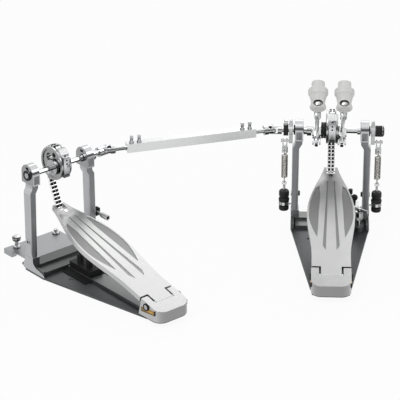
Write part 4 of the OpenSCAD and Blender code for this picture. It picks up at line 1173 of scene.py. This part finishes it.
class PEDAL_OT_stage(bpy.types.Operator):
    """Floor, white surround, soft boxes and the camera"""

    bl_idname = "pedal.stage"
    bl_label = "Stage"

    def execute(self, context):
        scene = context.scene
        scene.view_settings.view_transform = "Standard"
        floor = self.pale_floor()
        scene.world = self.white_surround()
        for name, where, share, size in LAMPS:
            lamp = bpy.data.lights.new(name, "AREA")
            lamp.energy = sizes().lamp_power * share
            lamp.size = size
            box = bpy.data.objects.new(name, lamp)
            box.location = where
            box.rotation_euler = (LAMP_AIM - Vector(where)).to_track_quat("-Z", "Y").to_euler()
            scene.collection.objects.link(box)
        camera = self.photo_camera()
        scene.collection.objects.link(camera)
        scene.camera = camera
        return {"FINISHED"}

    def pale_floor(self):
        """A pale floor that the camera and reflections see as almost white."""
        bm = bmesh.new()
        bmesh.ops.create_grid(bm, x_segments=4, y_segments=4, size=FLOOR_HALF)
        bmesh.ops.translate(bm, verts=bm.verts, vec=(0, 0, -FLOOR_DROP))
        f = Finish("pale_floor")
        camera, glossy, through = self.seen_rays(f)
        seen = camera + glossy + through
        mottle = f.noise(40, 2)
        tone = f.blend(mottle, (0.86, 0.86, 0.86), (0.9, 0.9, 0.9))
        paint = f.node(
            "ShaderNodeBsdfPrincipled", sockets={"Base Color": tone, "Roughness": 0.7, "Specular IOR Level": 0.1}
        )
        white = f.node("ShaderNodeEmission", sockets={"Color": WHITE, "Strength": 1.0})
        mixed = f.node(
            "ShaderNodeMixShader", sockets={0: seen * FLOOR_WHITE, 1: paint.outputs[0], 2: white.outputs[0]}
        )
        f.node("ShaderNodeOutputMaterial", sockets={"Surface": mixed.outputs[0]})
        return finished(bm, "floor", None, f.material)

    def white_surround(self):
        """A world that is white to the camera and in reflections, and lights the piece more softly."""
        world = bpy.data.worlds.new("white_surround")
        world.use_nodes = True
        w = Nodes(world.node_tree)
        camera, glossy, through = self.seen_rays(w)
        near = w.read("ShaderNodeMath", {"operation": "MAXIMUM"}, {0: camera, 1: glossy})
        seen = w.read("ShaderNodeMath", {"operation": "MAXIMUM"}, {0: near, 1: through})
        fill = w.node("ShaderNodeBackground", sockets={"Color": WHITE, "Strength": FILL_LIGHT})
        white = w.node("ShaderNodeBackground", sockets={"Color": WHITE, "Strength": 1.0})
        mixed = w.node("ShaderNodeMixShader", sockets={0: seen, 1: fill.outputs[0], 2: white.outputs[0]})
        w.node("ShaderNodeOutputWorld", sockets={"Surface": mixed.outputs[0]})
        return world

    def seen_rays(self, nodes):
        """How far a ray comes from the camera, off a shiny face or through a clear one."""
        path = nodes.node("ShaderNodeLightPath").outputs
        return [Reading(nodes, path["Is %s Ray" % kind]) for kind in ("Camera", "Glossy", "Transmission")]

    def photo_camera(self):
        """The camera of the photograph, fitted to the outlines of both pedals."""
        forward = Vector(
            (-math.sin(YAW) * math.cos(TILT), math.cos(YAW) * math.cos(TILT), math.sin(TILT))
        )
        right = Vector((math.cos(YAW), math.sin(YAW), 0))
        up = right.cross(forward)
        camera = bpy.data.cameras.new("photo_camera")
        camera.lens = FOCAL_PIXELS / PHOTO_PIXELS * SENSOR
        camera.sensor_width = SENSOR
        camera.clip_end = 100
        holder = bpy.data.objects.new("photo_camera", camera)
        rows = [(right[k], up[k], -forward[k], EYE[k]) for k in range(3)]
        holder.matrix_world = Matrix((*rows, (0, 0, 0, 1)))
        return holder


OPERATORS = (
    PEDAL_OT_bases, PEDAL_OT_posts, PEDAL_OT_boards, PEDAL_OT_cams, PEDAL_OT_shafts, PEDAL_OT_beaters,
    PEDAL_OT_springs, PEDAL_OT_clamp, PEDAL_OT_slave_front, PEDAL_OT_drive, PEDAL_OT_stage,
)


class PEDAL_PT_panel(bpy.types.Panel):
    """The sizes, the colours and a button for each piece"""

    bl_idname = "PEDAL_PT_panel"
    bl_label = "Double bass drum pedal"
    bl_space_type = "VIEW_3D"
    bl_region_type = "UI"
    bl_category = "Pedal"

    def draw(self, context):
        for group in (context.scene.pedal_sizes, context.scene.pedal_colours):
            column = self.layout.column()
            for name in group.__annotations__:
                column.prop(group, name)
        for operator in OPERATORS:
            self.layout.operator(operator.bl_idname)


CLASSES = (PedalSizes, PedalColours, *OPERATORS, PEDAL_PT_panel)


def register():
    for item in CLASSES:
        bpy.utils.register_class(item)
    bpy.types.Scene.pedal_sizes = bpy.props.PointerProperty(type=PedalSizes)
    bpy.types.Scene.pedal_colours = bpy.props.PointerProperty(type=PedalColours)


def unregister():
    del bpy.types.Scene.pedal_colours
    del bpy.types.Scene.pedal_sizes
    for item in reversed(CLASSES):
        bpy.utils.unregister_class(item)


def main():
    register()
    for operator in OPERATORS:
        group, name = operator.bl_idname.split(".")
        getattr(getattr(bpy.ops, group), name)()


if __name__ == "__main__":
    main()
